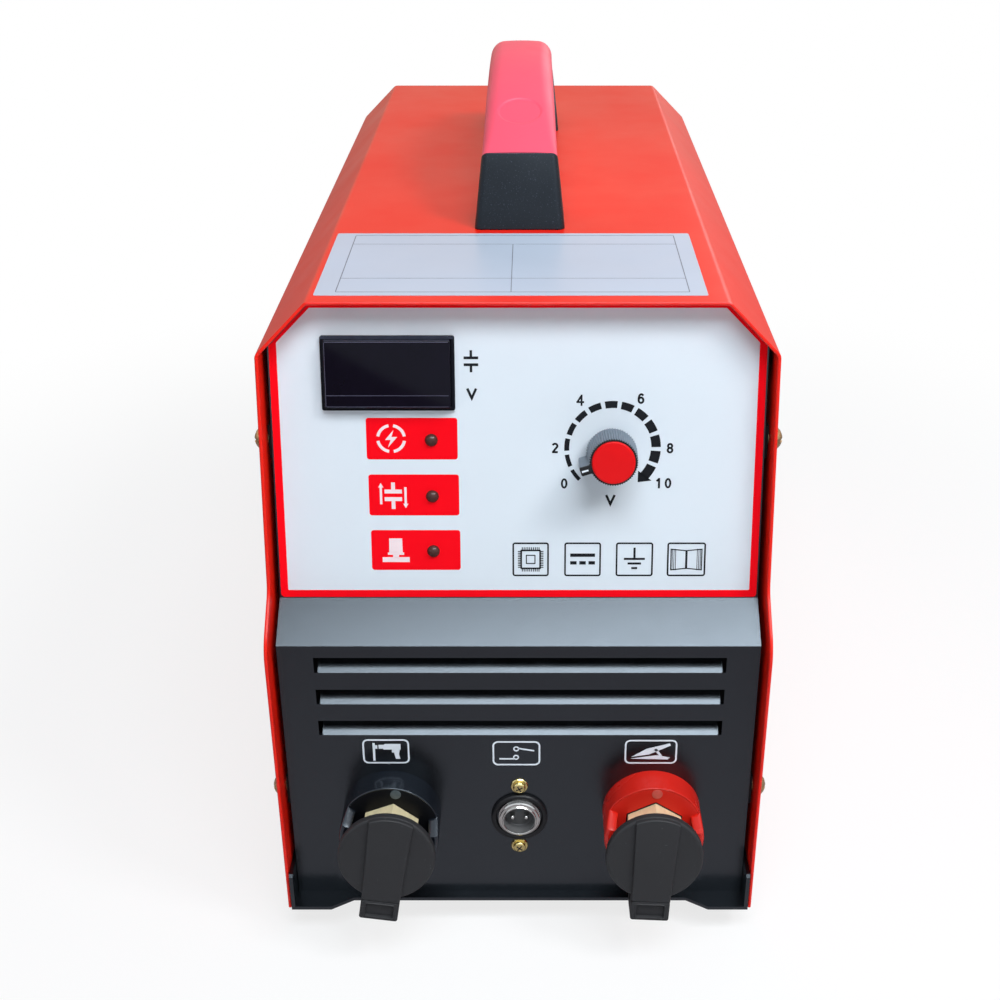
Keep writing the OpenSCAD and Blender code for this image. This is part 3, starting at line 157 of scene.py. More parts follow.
def ribbon(path, width):
    """Outline of a stroke along a straight or bent line: each point moved half the width to both sides along its
    mean normal, scaled so that the stroke keeps its width."""
    p = np.asarray(path, float)
    d = np.diff(p, axis=0)
    d = d / np.linalg.norm(d, axis=1)[:, None]
    n = np.stack([-d[:, 1], d[:, 0]], 1)
    n1, n2 = np.concatenate([n[:1], n]), np.concatenate([n, n[-1:]])
    side = (n1 + n2) / (1 + (n1 * n2).sum(1))[:, None] * width / 2
    return np.concatenate([p - side, (p + side)[::-1]])


def oval(centre, rx, ry, start=0.0, end=360.0, steps=33):
    """Points of an oval between two angles in degrees."""
    t = np.radians(np.linspace(start, end, steps))
    return np.stack([centre[0] + rx * np.cos(t), centre[1] + ry * np.sin(t)], 1)


def circle(centre, radius):
    """Outline of a circle as 24 evenly turned points."""
    return oval(centre, radius, radius, steps=25)[:-1]


def sector(centre, inner, outer, start, end, steps=9):
    """Outline of a piece of a ring between two angles in degrees, the end above the start."""
    near, far = (oval(centre, r, r, start, end, steps) for r in (inner, outer))
    return np.concatenate([far, near[::-1]])


def shifted(outline, centre):
    """Outline moved to a centre."""
    return np.asarray(outline, float) + np.array(centre)


# Surfaces: each gives points and groups of faces with the same number of corners. Heights left out are a print's

def loft(loops, closed=False):
    """Skin over loops of equally many points: quads between neighbouring loops, and a flat face over each end
    unless the last loop joins the first."""
    loops = np.asarray(loops)
    k, n, _ = loops.shape
    i, j = np.arange(k if closed else k - 1)[:, None], np.arange(n)[None, :]
    nxt, up = (j + 1) % n, (i + 1) % k
    groups = [np.stack([i * n + j, i * n + nxt, up * n + nxt, up * n + j], -1).reshape(-1, 4)]
    if not closed:
        groups += [np.arange(n)[None, ::-1], (np.arange(n) + (k - 1) * n)[None, :]]
    return loops.reshape(-1, 3), groups


def at_heights(outlines, heights):
    """Flat outlines put at their heights, as loops."""
    flat = np.asarray(outlines, float)
    z = np.broadcast_to(np.asarray(heights, float)[:, None, None], flat.shape[:2] + (1,))
    return np.concatenate([flat, z], -1)


def slab(outline, low=LOW, high=HIGH, edge=0.0, foot=0.0):
    """Plate over an outline between two heights: its upper rim turns in by a quarter circle of radius edge, and
    its lower rim by one of radius foot."""
    turn = np.linspace(0, np.pi / 2, 5)
    depth, height = [0.0], [low]
    if foot:
        depth, height = list(foot * (1 - np.sin(turn))), list(low + foot * (1 - np.cos(turn)))
    if edge:
        depth += list(edge * (1 - np.cos(turn)))
        height += list(high - edge + edge * np.sin(turn))
    else:
        depth, height = depth + [0.0], height + [high]
    return loft(at_heights([inset(outline, d) for d in depth], height))


def ring(outer, inner, low=LOW, high=HIGH):
    """Flat ring between two outlines of equally many points: four loops joined in a ring."""
    return loft(at_heights([outer, outer, inner, inner], [low, high, high, low]), closed=True)


def band(outline, width, low=LOW, high=HIGH):
    """Flat frame of a given width along the inside of an outline."""
    return ring(outline, inset(outline, width), low, high)


def turned(profile, steps=64, centre=(0.0, 0.0), closed=False):
    """Round piece about the z axis: each point (radius, height) of the profile makes a circle. A closed profile
    joins its end to its start, and an open one is capped at both ends."""
    t, p = around(steps), np.asarray(profile, float)
    x = centre[0] + p[:, :1] * np.cos(t)
    y = centre[1] + p[:, :1] * np.sin(t)
    return loft(np.stack([x, y, np.broadcast_to(p[:, 1:], x.shape)], -1), closed)


def bars(boxes, low=LOW, high=HIGH, centre=(0.0, 0.0)):
    """Many upright blocks (x0, y0, x1, y1) about a centre between two heights, as one array of corners."""
    b = np.asarray(boxes, float) + np.tile(centre, 2)
    x = b[:, [0, 2, 2, 0, 0, 2, 2, 0]]
    y = b[:, [1, 1, 3, 3, 1, 1, 3, 3]]
    z = np.broadcast_to(np.array([low] * 4 + [high] * 4), x.shape)
    six = np.array([[3, 2, 1, 0], [4, 5, 6, 7], [0, 1, 5, 4], [1, 2, 6, 5], [2, 3, 7, 6], [3, 0, 4, 7]])
    quads = (six[None] + 8 * np.arange(len(b))[:, None, None]).reshape(-1, 4)
    return np.stack([x, y, z], -1).reshape(-1, 3), [quads]


def knuckle_reach(corners, count=96):
    """How far a convex outline reaches from the origin at each angle: the nearest of its sides along the ray, and
    at least the knuckle's radius."""
    t, c = around(count), np.asarray(corners, float)
    d = np.roll(c, -1, 0) - c
    n = np.stack([d[:, 1], -d[:, 0]], 1)
    n = n * np.sign((n * c).sum(1) + 1e-9)[:, None]
    along = np.stack([np.cos(t), np.sin(t)], 1) @ n.T
    reach = np.where(along > 1e-6, (n * c).sum(1)[None] / np.maximum(along, 1e-6), np.inf).min(1)
    return np.maximum(reach, KNUCKLE_R)


def pierced(reach, bore, low, high, centre=(0.0, 0.0)):
    """Plate across x with a round bore: a ring from the bore out to a reach given for each angle about the bore."""
    t = around(len(reach))
    return loft([np.stack([np.full_like(t, x), centre[0] + r * np.cos(t), centre[1] + r * np.sin(t)], 1)
                 for x, r in ((low, reach), (high, reach), (high, bore), (low, bore))], closed=True)


# Objects

def outward(points, groups):
    """Faces turned so that the closed solid's volume, summed from corner triangles, is positive."""
    v = points - points.mean(0)
    volume = sum((v[g[:, :1]] * np.cross(v[g[:, 1:-1]], v[g[:, 2:]])).sum() for g in groups)
    return groups if volume > 0 else [g[:, ::-1] for g in groups]


def shown(name, mesh, finish, body, stands_for, crease):
    """The mesh as an object with its finish, smooth below the crease angle, tied to its body and nodes."""
    mesh.materials.clear()
    mesh.materials.append(finish)
    mesh.shade_smooth()
    if crease:
        mesh.set_sharp_from_angle(angle=math.radians(crease))
    thing = bpy.data.objects.new(name, mesh)
    bpy.context.scene.collection.objects.link(thing)
    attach(thing, body)
    if stands_for:
        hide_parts(*stands_for)
    return thing


def reworked(mesh, gap, flat_angle=None):
    """Joins the mesh's corners that lie within a gap and, below an angle, its neighbouring flat faces."""
    work = bmesh.new()
    work.from_mesh(mesh)
    bmesh.ops.remove_doubles(work, verts=work.verts, dist=gap)
    if flat_angle:
        bmesh.ops.dissolve_limit(work, angle_limit=flat_angle, verts=work.verts, edges=work.edges)
    work.to_mesh(mesh)
    work.free()


def piece(name, solids, finish, body="machine", stands_for=(), crease=32.0, merge=False):
    """Object made of closed solids, each already in the shared frame, that rides on a body."""
    points, faces, at = [], [], 0
    for p, groups in solids:
        faces += [f for g in outward(p, groups) for f in (g + at).tolist()]
        points.append(p)
        at += len(p)
    mesh = bpy.data.meshes.new(name)
    mesh.from_pydata(np.concatenate(points).tolist(), [], faces)
    if merge:
        reworked(mesh, 1e-6)
    shown(name, mesh, finish, body, stands_for, crease)


def softened(name, node, edge, finish):
    """Copy of a CAD solid: its triangles are merged, flat faces joined, and its sharp edges rounded by edge."""
    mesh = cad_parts[node].data.copy()
    mesh.name = name
    reworked(mesh, 2e-6, math.radians(0.5))
    thing = shown(name, mesh, finish, "machine", (node,), 0)
    bevel = thing.modifiers.new("edges", "BEVEL")
    bevel.width, bevel.segments, bevel.limit_method = edge * MM, 3, "ANGLE"
    bevel.angle_limit, bevel.harden_normals = math.radians(32), True


# Finishes

def light(r, g, b):
    """Linear colour from screen values of 0 to 255."""
    c = np.array([r, g, b]) / 255
    return tuple(np.where(c <= 0.04045, c / 12.92, ((c + 0.055) / 1.055) ** 2.4).tolist()) + (1.0,)


def feed(tree, node, inputs):
    """Sets each input of a shader node, by its name or number, to a value or to another node's output."""
    for key, value in inputs.items():
        if isinstance(value, bpy.types.NodeSocket):
            tree.links.new(value, node.inputs[key])
        else:
            node.inputs[key].default_value = value


def grow(tree, kind, inputs=None, **settings):
    """New shader node with its settings and inputs; gives its outputs."""
    made = tree.nodes.new("ShaderNode" + kind)
    for key, value in settings.items():
        setattr(made, key, value)
    feed(tree, made, inputs or {})
    return made.outputs


def blend(tree, share, a, b):
    """Colour between a and b."""
    return grow(tree, "Mix", {0: share, 6: a, 7: b}, data_type="RGBA")[2]


def surface(name, colour, rough, metal=0.0, gloss=0.5, drift=0.05, drift_mm=40.0, rough_drift=0.04,
            grain_mm=0.6, grain=0.0, stretch=(1, 1, 1), specks=None, sheen_tint=(1.0, 1.0, 1.0)):
    """Finish whose colour and roughness drift slowly over drift_mm, with a raised grain of grain_mm, a tint of its
    reflections and, if given, bright specks (colour, size in mm, share). Colours are screen values of 0 to 255."""
    finish = bpy.data.materials.new(name)
    finish.use_nodes = True
    tree = finish.node_tree
    place = grow(tree, "Mapping", {"Vector": grow(tree, "TexCoord")["Object"], "Scale": stretch})["Vector"]

    def noise(size_mm, detail):
        """Noise whose patches are about size_mm across."""
        return grow(tree, "TexNoise", {"Vector": place, "Scale": 1000 / size_mm, "Detail": detail})["Fac"]

    ramp = tree.nodes.new("ShaderNodeValToRGB")
    for stop, position, gain in zip(ramp.color_ramp.elements, (0.3, 0.7), (1 - drift, 1 + drift)):
        stop.position = position
        stop.color = tuple(min(c * gain, 1) for c in light(*colour)[:3]) + (1.0,)
    feed(tree, ramp, {"Fac": noise(drift_mm, 3)})
    shade = ramp.outputs["Color"]
    if specks:
        speck_colour, speck_mm, share = specks
        mask = grow(tree, "MapRange", {"Value": noise(speck_mm, 1), "From Min": 0.78 - share,
                                       "From Max": 0.82 - share})
        shade = blend(tree, mask["Result"], shade, light(*speck_colour))
    dull = grow(tree, "MapRange", {
        "Value": noise(drift_mm / 3, 4), "From Min": 0.3, "From Max": 0.7,
        "To Min": max(rough - rough_drift, 0.02), "To Max": min(rough + rough_drift, 1)})
    shader = tree.nodes["Principled BSDF"]
    feed(tree, shader, {"Base Color": shade, "Roughness": dull["Result"], "Metallic": metal,
                        "Specular IOR Level": gloss, "Specular Tint": sheen_tint + (1.0,)})
    if grain:
        bump = grow(tree, "Bump", {"Distance": grain * MM, "Height": noise(grain_mm, 2)})
        feed(tree, shader, {"Normal": bump["Normal"]})
    return finish


BLUE_SHEEN = (0.80, 0.90, 1.0)
PRINT = {"grain_mm": 0.4, "grain": 0.002}
FINE = {"grain_mm": 0.5, "grain": 0.006}
MOULDED = {"grain_mm": 3, "grain": 0.004}

# Sheet, film and prints
RED_COAT = surface(
    "red_powder_coat", (236, 30, 14), 0.34, gloss=0.30, drift=0.03, drift_mm=90, grain_mm=1.6, grain=0.010)
BLACK_COAT = surface(
    "black_powder_coat", (9, 10, 13), 0.24, gloss=1.0, drift=0.12, rough_drift=0.015, drift_mm=25,
    grain=0.020, sheen_tint=BLUE_SHEEN)
BLACK_STEEL = surface("black_oxide_steel", (20, 20, 22), 0.5, gloss=0.3, drift=0.15, **FINE)
FILM = surface("white_panel_film", (219, 227, 235), 0.48, gloss=0.25, drift=0.012, drift_mm=60, **PRINT)
RED_PRINT = surface("red_print", (250, 8, 26), 0.5, gloss=0.05, drift=0.02, **PRINT)
BLACK_PRINT = surface("black_print", (16, 18, 24), 0.55, gloss=0.2, **PRINT)
WHITE_PRINT = surface("white_print", (226, 232, 240), 0.5, gloss=0.3, drift=0.02, **PRINT)
PINK_PRINT = surface("white_sign_print", (244, 222, 226), 0.5, gloss=0.3, drift=0.02, **PRINT)
GREY_PRINT = surface("grey_ruled_print", (120, 126, 140), 0.5, gloss=0.3, drift=0.04, **PRINT)
LABEL_FILM = surface(
    "pale_top_film", (186, 198, 216), 0.34, gloss=0.3, drift=0.03, drift_mm=50, grain_mm=0.5, grain=0.003)

# Meter, lamps, knob and handle
LENS = surface("smoked_lens", (10, 7, 20), 0.12, gloss=0.14, drift=0.1, drift_mm=12, rough_drift=0.03)
# Painted highlight for the meter lens's edges
LENS_HIGHLIGHT = surface("lens_edge_highlight", (78, 76, 96), 0.3, gloss=0.3, drift=0.1)
# Painted sheen for the top edges of the meter's lens and bezel
LENS_SHEEN = surface("painted_lens_rim_sheen", (52, 55, 68), 0.5, gloss=0.1, drift=0.15, drift_mm=4)
BEZEL = surface("satin_black_bezel", (16, 16, 24), 0.46, gloss=0.1, drift=0.1, **FINE)
LAMP = surface("dark_lamp", (72, 42, 38), 0.24, gloss=0.3, drift=0.12, drift_mm=3)
GREY_KNOB = surface(
    "grey_knob", (112, 124, 136), 0.42, gloss=0.4, drift=0.04, drift_mm=9, grain_mm=0.4, grain=0.006)
RED_KNOB = surface(
    "red_knob_cap", (222, 12, 18), 0.36, gloss=0.2, drift=0.03, drift_mm=12, grain_mm=0.5, grain=0.004)
GRIP = surface("soft_red_grip", (246, 84, 112), 0.44, drift=0.03, drift_mm=60, grain_mm=0.7, grain=0.006)
POST = surface(
    "textured_black_post", (12, 15, 21), 0.36, gloss=0.36, drift=0.08, grain_mm=0.55, grain=0.026,
    specks=((42, 47, 58), 0.5, 0.12), sheen_tint=BLUE_SHEEN)

# Sockets, plastics and rubber
CAP_RUBBER = surface(
    "dull_black_cap", (43, 43, 45), 0.50, gloss=0.30, drift=0.08, grain_mm=0.5, grain=0.008,
    specks=((70, 70, 74), 1.1, 0.015))
GLOSS_BLACK = surface(
    "gloss_black_socket", (15, 19, 26), 0.22, gloss=0.85, drift=0.08, sheen_tint=BLUE_SHEEN, **MOULDED)
GLOSS_RED = surface("gloss_red_socket", (206, 32, 20), 0.26, gloss=0.40, drift=0.04, **MOULDED)
DULL_BLACK = surface("dull_black_face", (9, 10, 14), 0.42, gloss=0.16, drift=0.08, **MOULDED)
DULL_RED = surface("dull_red_face", (204, 34, 22), 0.42, gloss=0.2, drift=0.04, **MOULDED)
# Grey of the black socket's gate mark, also the painted highlight of the control socket's key rib
GATE_GREY_AND_KEY_HIGHLIGHT = surface("grey_gate_mark_and_key_highlight", (78, 88, 92), 0.4, gloss=0.4, drift=0.12, drift_mm=1.5)
PINK_MARK = surface("pale_red_gate_mark", (206, 84, 74), 0.4, gloss=0.4, drift=0.08, drift_mm=1.5)
GREY_BED = surface("grey_pin_bed", (96, 96, 97), 0.45, gloss=0.3, drift=0.1, **FINE)
DARK_INSERT = surface("dark_insert", (26, 26, 29), 0.35, gloss=0.35, drift=0.1, **FINE)
BLACK_PLASTIC = surface("black_plastic", (16, 16, 19), 0.42, gloss=0.35, drift=0.1, grain_mm=0.7, grain=0.010)
RUBBER = surface("foot_rubber", (22, 22, 23), 0.75, gloss=0.25, drift=0.12, grain_mm=0.9, grain=0.020)

# Bare metals
BRASS = surface(
    "brass_contact", (244, 230, 186), 0.36, metal=0.28, gloss=0.6, drift=0.08, drift_mm=6, grain_mm=0.5,
    grain=0.020, stretch=(1, 1, 5))
YELLOW_ZINC = surface(
    "yellow_zinc", (226, 206, 142), 0.20, metal=1.0, drift=0.18, drift_mm=2.0, rough_drift=0.08, grain_mm=1.2,
    grain=0.05)
CHROME = surface("bright_chrome", (206, 204, 200), 0.16, metal=1.0, drift_mm=5, rough_drift=0.07)
BRONZE = surface("bronze_passivated", (188, 160, 118), 0.30, metal=0.9, drift=0.18, drift_mm=2.5, rough_drift=0.10)
STEEL = surface("zinc_steel", (184, 182, 176), 0.32, metal=1.0, drift=0.08, drift_mm=7, rough_drift=0.08)

# Works inside
BOARD = surface("green_board", (24, 92, 52), 0.35, drift=0.15, drift_mm=6, grain_mm=0.9, grain=0.006)
COPPER = surface(
    "copper_bar", (206, 126, 88), 0.30, metal=1.0, drift=0.10, drift_mm=9, rough_drift=0.08, grain=0.006,
    stretch=(1, 6, 1))
WINDING = surface(
    "copper_winding", (156, 78, 42), 0.32, metal=0.6, drift=0.14, drift_mm=5, grain_mm=1.4, grain=0.12,
    stretch=(0.1, 0.1, 1))
SLEEVE = surface("capacitor_sleeve", (32, 48, 84), 0.30, drift=0.06, drift_mm=30, grain_mm=2.5, grain=0.010)
PHENOLIC = surface("brown_board", (120, 78, 44), 0.5, drift=0.12, drift_mm=8, grain_mm=0.8, grain=0.010)
CORE = surface(
    "stacked_core", (86, 88, 92), 0.42, metal=0.8, drift=0.14, drift_mm=4, grain_mm=0.9, grain=0.05,
    stretch=(0.05, 1, 0.05))
ALUMINIUM = surface("cast_aluminium", (196, 198, 200), 0.36, metal=1.0, drift_mm=14, stretch=(1, 8, 1), **FINE)
CEMENT = surface("resistor_cement", (200, 194, 180), 0.8, drift=0.06, drift_mm=4, grain_mm=0.7, grain=0.030)

NODE_FINISHES = {
    BLACK_COAT: "front_panel base_tray rear_panel",
    BLACK_STEEL: "clip_nuts louvre_baffle",
    FILM: "panel_overlay",
    LAMP: "indicator_leds",
    BOARD: "control_board meter_board",
    BRONZE: "cover_screws",
    STEEL: "foot_fasteners potentiometer_nut potentiometer_shaft cap_pins handle_screws fan_screws "
           "plate_posts bar_fasteners socket_nuts",
    YELLOW_ZINC: "board_standoffs",
    RUBBER: "rubber_feet",
    CHROME: "fan_guard",
    DARK_INSERT: "potentiometer_body thyristor_module bridge_rectifier",
    BLACK_PLASTIC: "fan_frame fan_rotor switch_body switch_rocker cable_gland gland_nut",
    BRASS: "earth_stud earth_nuts",
    SLEEVE: "capacitors",
    PHENOLIC: "capacitor_plate",
    COPPER: "busbars",
    CORE: "transformer_core",
    WINDING: "transformer_winding",
    ALUMINIUM: "heatsink",
    CEMENT: "discharge_resistor",
}
for finish, names in NODE_FINISHES.items():
    for name in names.split():
        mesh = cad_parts[name].data
        mesh.materials.clear()
        mesh.materials.append(finish)


# Case cover

def front_edge(z):
    """How far back the cover's front edge lies at a height: upright below the bulge, back to the knee, then
    leaning, with an arc at the bulge and at the knee."""
    far, over, sharp = -400.0, 200, 1e-3
    line = [[far, 0], [0, 0], [0, BULGE_Z], [KNEE_Y, KNEE_Z],
            [KNEE_Y + over * math.tan(LEAN), KNEE_Z + over], [far, KNEE_Z + over]]
    bent = rounded(line, [sharp, sharp, BULGE_R, KNEE_R, sharp, sharp], 13)[13:-13]
    return np.interp(z, bent[:, 1], bent[:, 0])


def cover_shell():
    """Wrap-round sheet: an upside-down U with sloping shoulders and small bends, carried from the front edge to the
    back. Each point of the section runs from its own place on the front edge; the inner skin lies one sheet
    thickness along the section's normal, and the front rim is eased."""
    half, bend_r, below, sharp = CASE_W / 2, 3, -60, 1e-3
    bend = rounded([[-half, below], [-half, CASE_H - CHAMFER], [-half + CHAMFER, CASE_H], [half - CHAMFER, CASE_H],
                    [half, CASE_H - CHAMFER], [half, below]], [sharp] + [bend_r] * 4 + [sharp], 9)[9:-9]
    # The rows are close together round the bulge and the knee
    side = np.concatenate([np.linspace(0, 96, 9), np.linspace(100, 150, 41), np.linspace(156, 214, 9)])
    left = np.stack([np.full_like(side, -half), side], 1)
    flat_half = half - CHAMFER - 8
    top = np.stack([np.linspace(-flat_half, flat_half, 9), np.full(9, CASE_H)], 1)
    middle = len(bend) // 2
    section = np.concatenate([left, bend[:middle], top, bend[middle:], left[::-1] * [-1, 1]])
    ahead = np.gradient(section, axis=0)
    ahead = ahead / np.linalg.norm(ahead, axis=1)[:, None]
    inward = np.stack([ahead[:, 1], -ahead[:, 0]], 1)
    start = front_edge(section[:, 1])
    ease, rows = 0.35, 24
    share = np.linspace(0, 1, rows) ** 1.5
    run = np.concatenate([[ease], np.zeros(rows - 2), [-ease]])
    depths = np.concatenate([[ease], np.zeros(rows), [ease, COVER_T - ease], np.full(rows, COVER_T),
                             [COVER_T - ease]])
    shares = np.concatenate([[0], share, [1, 1], share[::-1], [0]])
    pulls = np.concatenate([[0], run, [0, 0], run[::-1], [0]])
    flat = section[None] + depths[:, None, None] * inward[None]
    along = start[None] + shares[:, None] * (CASE_LEN - start)[None] + pulls[:, None]
    grid = np.stack([flat[..., 0], along, flat[..., 1]], -1)
    return loft(np.swapaxes(grid, 0, 1))


piece("cover_shell", put(CASE, cover_shell()), RED_COAT, stands_for=("cover",), crease=38)


# Handle

def foot_post(way):
    """Foot block of the handle: rounded oblongs from the case top to the sloping joint under the grip. The front
    and back edges run straight, the width narrows with height, and both rims are eased. way is 1 for the front post
    and -1 for the rear one, which is the front one turned about the handle's middle."""
    inner = ARCH_R - GRIP_T
    front = np.array([[HANDLE_Y, CASE_H], [HANDLE_Y + POST_SLOPE, CASE_H + POST_RISE]])
    back = np.array([[HANDLE_Y + POST_LEN, CASE_H],
                     [HANDLE_MID - inner * math.sin(ARCH_ANGLE), ARCH_Z + inner * math.cos(ARCH_ANGLE)]])
    turn = np.linspace(0, np.pi / 2, 5)
    foot_ease, top_ease = 0.5, 0.45
    rise = np.concatenate([foot_ease * (1 - np.cos(turn)), [8, 16],
                           POST_RISE - top_ease + top_ease * np.sin(turn)]) / POST_RISE
    depth = np.concatenate([foot_ease * (1 - np.sin(turn)), [0, 0], top_ease * (1 - np.cos(turn))])
    loops = []
    for t, d in zip(rise, depth):
        a, b = front[0] + t * (front[1] - front[0]), back[0] + t * (back[1] - back[0])
        length = np.linalg.norm(b - a)
        flat = inset(oblong(-POST_W / 2, 0, POST_W / 2, length, [2.8, 2.8, 3, 3], 9), d)
        yz = a + flat[:, 1:] * (b - a) / length
        narrow = 1 - (1 - POST_TOP_W / POST_W) * (yz[:, 1] - CASE_H) / POST_RISE
        loops.append(np.stack([flat[:, 0] * narrow * way, HANDLE_MID + way * (yz[:, 0] - HANDLE_MID), yz[:, 1]], 1))
    return loft(loops)


def grip_section(corner):
    """Section of the grip: a box with corners of a given radius, closely divided along its outer side."""
    half, flat = GRIP_T / 2, GRIP_HALF - 0.4 - corner
    box = oblong(-GRIP_HALF, -half, GRIP_HALF, half, corner, 13)
    outer = np.stack([np.linspace(flat, -flat, 53), np.full(53, half)], 1)
    inner = np.stack([np.linspace(-flat, flat, 13), np.full(13, -half)], 1)
    return np.concatenate([inner, box[13:39], outer, box[39:], box[:13]])


def grip_arch():
    """Grip: a slightly crowned section carried along a circular arch. Its corners are round over the middle and
    small at the ends, where it is a little wider and its rims are eased. A round thumb dimple is pressed into the
    outer face of each slope."""
    rows = np.linspace(-1, 1, 481)
    gap = (1 - np.abs(rows)) * ARCH_ANGLE * ARCH_R
    bend = 0.5
    ease = bend - np.sqrt(np.maximum(bend ** 2 - np.maximum(bend - gap, 0) ** 2, 0))
    width = GRIP_W + GRIP_FLARE * np.abs(rows) ** 1.6
    share = (np.abs(rows) ** 5)[:, None, None]
    base = (1 - share) * grip_section(6.0) + share * grip_section(2.2)
    x, y = base[..., 0], base[..., 1]
    across = x * (width / (2 * GRIP_HALF))[:, None]
    across = across - np.sign(across) * np.minimum(ease[:, None], np.abs(across))
    lift = y + CROWN * (y > 0) * (1 - (x / GRIP_HALF) ** 2)
    lift = lift - np.sign(lift) * ease[:, None]
    phi = rows * ARCH_ANGLE
    reach = np.hypot(np.abs(np.abs(phi) * ARCH_R - DIMPLE_AT)[:, None], across)
    wall = np.clip((DIMPLE_R - reach) / DIMPLE_WALL, 0, 1)
    dimple = DIMPLE_DEPTH * wall ** 2 * (3 - 2 * wall) * (y > 0)
    radius = ARCH_R - GRIP_T / 2 + lift - dimple - CROWN - CROWN * (1 - rows ** 4)[:, None]
    return loft(np.stack([across, HANDLE_MID + radius * np.sin(phi)[:, None],
                          ARCH_Z + radius * np.cos(phi)[:, None]], -1))


for way, end in ((1, "front_post"), (-1, "rear_post")):
    piece("black_" + end, put(CASE, foot_post(way)), POST, stands_for=("handle_" + end,))
piece("red_grip", put(CASE, grip_arch()), GRIP, stands_for=("handle_grip",), crease=40)


# Printed film on the leaning panel

def film_edge(half, low, shoulder, cut, top, corner):
    """Outline of the film: an upright box whose upper corners are cut off."""
    corners = [[-half, low], [half, low], [half, shoulder], [cut, top], [-cut, top], [-half, shoulder]]
    return rounded(corners, [corner, corner] + [0.3] * 4, 5)


panel_top, shoulder = (
    (z - LEAN_Z) / math.cos(LEAN) - PANEL_GAP for z in (PANEL_TOP_Z, PANEL_TOP_Z - PANEL_CHAMFER))
white_half, white_shoulder, white_top = PANEL_HALF - 2.75, 91.3, panel_top - 2.6
white_cut = white_half - (white_top - white_shoulder) / 1.0175
border = ring(film_edge(PANEL_HALF, -4.8, shoulder, PANEL_HALF - PANEL_CHAMFER, panel_top, 1.5),
              film_edge(white_half, -2.05, white_shoulder, white_cut, white_top, 0.4))
tiles = [(-55.0, 48.4, -22.0, 63.9), (-54.7, 27.1, -21.7, 42.7), (-54.4, 5.9, -21.5, 21.4)]
piece("red_border_print", put(LEANING, border), RED_PRINT)
piece("red_tile_prints", put(LEANING, *[slab(oblong(*t, 1.0)) for t in tiles]), RED_PRINT)


def arrow(x, tail, tip):
    """Upright arrow: a thin stem and a three-cornered head."""
    side = math.copysign(1, tip - tail)
    back = tip - 1.7 * side
    head = [[x - 0.95 * side, back], [x + 0.95 * side, back], [x, tip]]
    return [ribbon([(x, tail), (x, back)], 0.85), head]


# Signs on the three tiles: a bolt in a broken ring, a capacitor between arrows, a stud on a plate
ring_at, capacitor_at, stud_at = (-46.0, 56.2), (-45.8, 34.8), (-45.4, 13.5)
bolt = [[0.9, 3.2], [-2.2, -0.5], [-0.2, -0.5], [-1.2, -3.3], [2.2, 0.6], [0.1, 0.6]]
capacitor = [*arrow(-4.5, -3.4, 4.7), *arrow(4.5, 3.1, -4.9), oblong(-0.7, 2.0, 0.7, 4.9),
             oblong(-3.2, 0.7, 3.2, 2.2), oblong(-3.2, -2.2, 3.2, -0.7), oblong(-0.7, -5.2, 0.7, -2.0)]
stud = [[[-2.5, -0.9], [2.5, -0.9], [2.4, 4.7], [-2.4, 4.7]], oblong(-3.0, -1.7, 3.0, -0.8),
        oblong(-1.1, -2.7, 1.1, -1.6), oblong(-5.0, -4.5, 5.0, -2.6)]
signs = [sector(ring_at, 4.3, 5.4, 10 + 90 * i, 80 + 90 * i, 13) for i in range(4)] + [shifted(bolt, ring_at)]
signs += [shifted(s, capacitor_at) for s in capacitor] + [shifted(s, stud_at) for s in stud]
piece("tile_signs", put(LEANING, *[slab(s, HIGH - 0.02, HIGH + 0.05) for s in signs]), PINK_PRINT)


def figure(sign, height, centre):
    """One plain figure of a dial, drawn with an even stroke: rings for closed curves, ribbons for open ones."""
    t = {"4": 0.165, "V": 0.21}.get(sign, 0.195) * height
    a, b = (height - t) / 2, (0.62 * height - t) / 2
    stem, small = 0.38 * b, 0.52 * a
    upright = [[stem, -a - t / 2], [stem, a + t / 2]]
    rings = {"0": [((0, 0), b, a)], "6": [((0, -a + 0.62 * a), b, 0.62 * a)],
             "8": [((0, a - 0.47 * a), 0.88 * b, 0.47 * a), ((0, -a + 0.53 * a), b, 0.53 * a)]}
    lines = {
        "1": [upright, [[stem, a], [-0.75 * b, 0.5 * a]]],
        "2": [np.concatenate([oval((0, a - small), b, small, 165, -32, 21), [[-b, -a]]]),
              [[-b - t / 3, -a], [b + t / 4, -a]]],
        "4": [upright, [[stem, a], [-1.25 * b, -0.40 * a]],
              [[-1.25 * b - 0.5 * t, -0.40 * a], [b + 0.5 * t, -0.40 * a]]],
        "6": [oval((0.06 * a, 0.02 * a), b + 0.06 * a, 0.98 * a, 42, 200, 25)],
        "V": [[[-1.45 * b - t / 3, a + t / 2], [0, -a + t / 3], [1.45 * b + t / 3, a + t / 2]]]}
    solids = []
    for middle, rx, ry in rings.get(sign, []):
        outer, inner = (shifted(oval(middle, rx + d, ry + d)[:-1], centre) for d in (t / 2, -t / 2))
        solids.append(ring(outer, inner))
    return solids + [slab(ribbon(shifted(line, centre), t)) for line in lines.get(sign, [])]


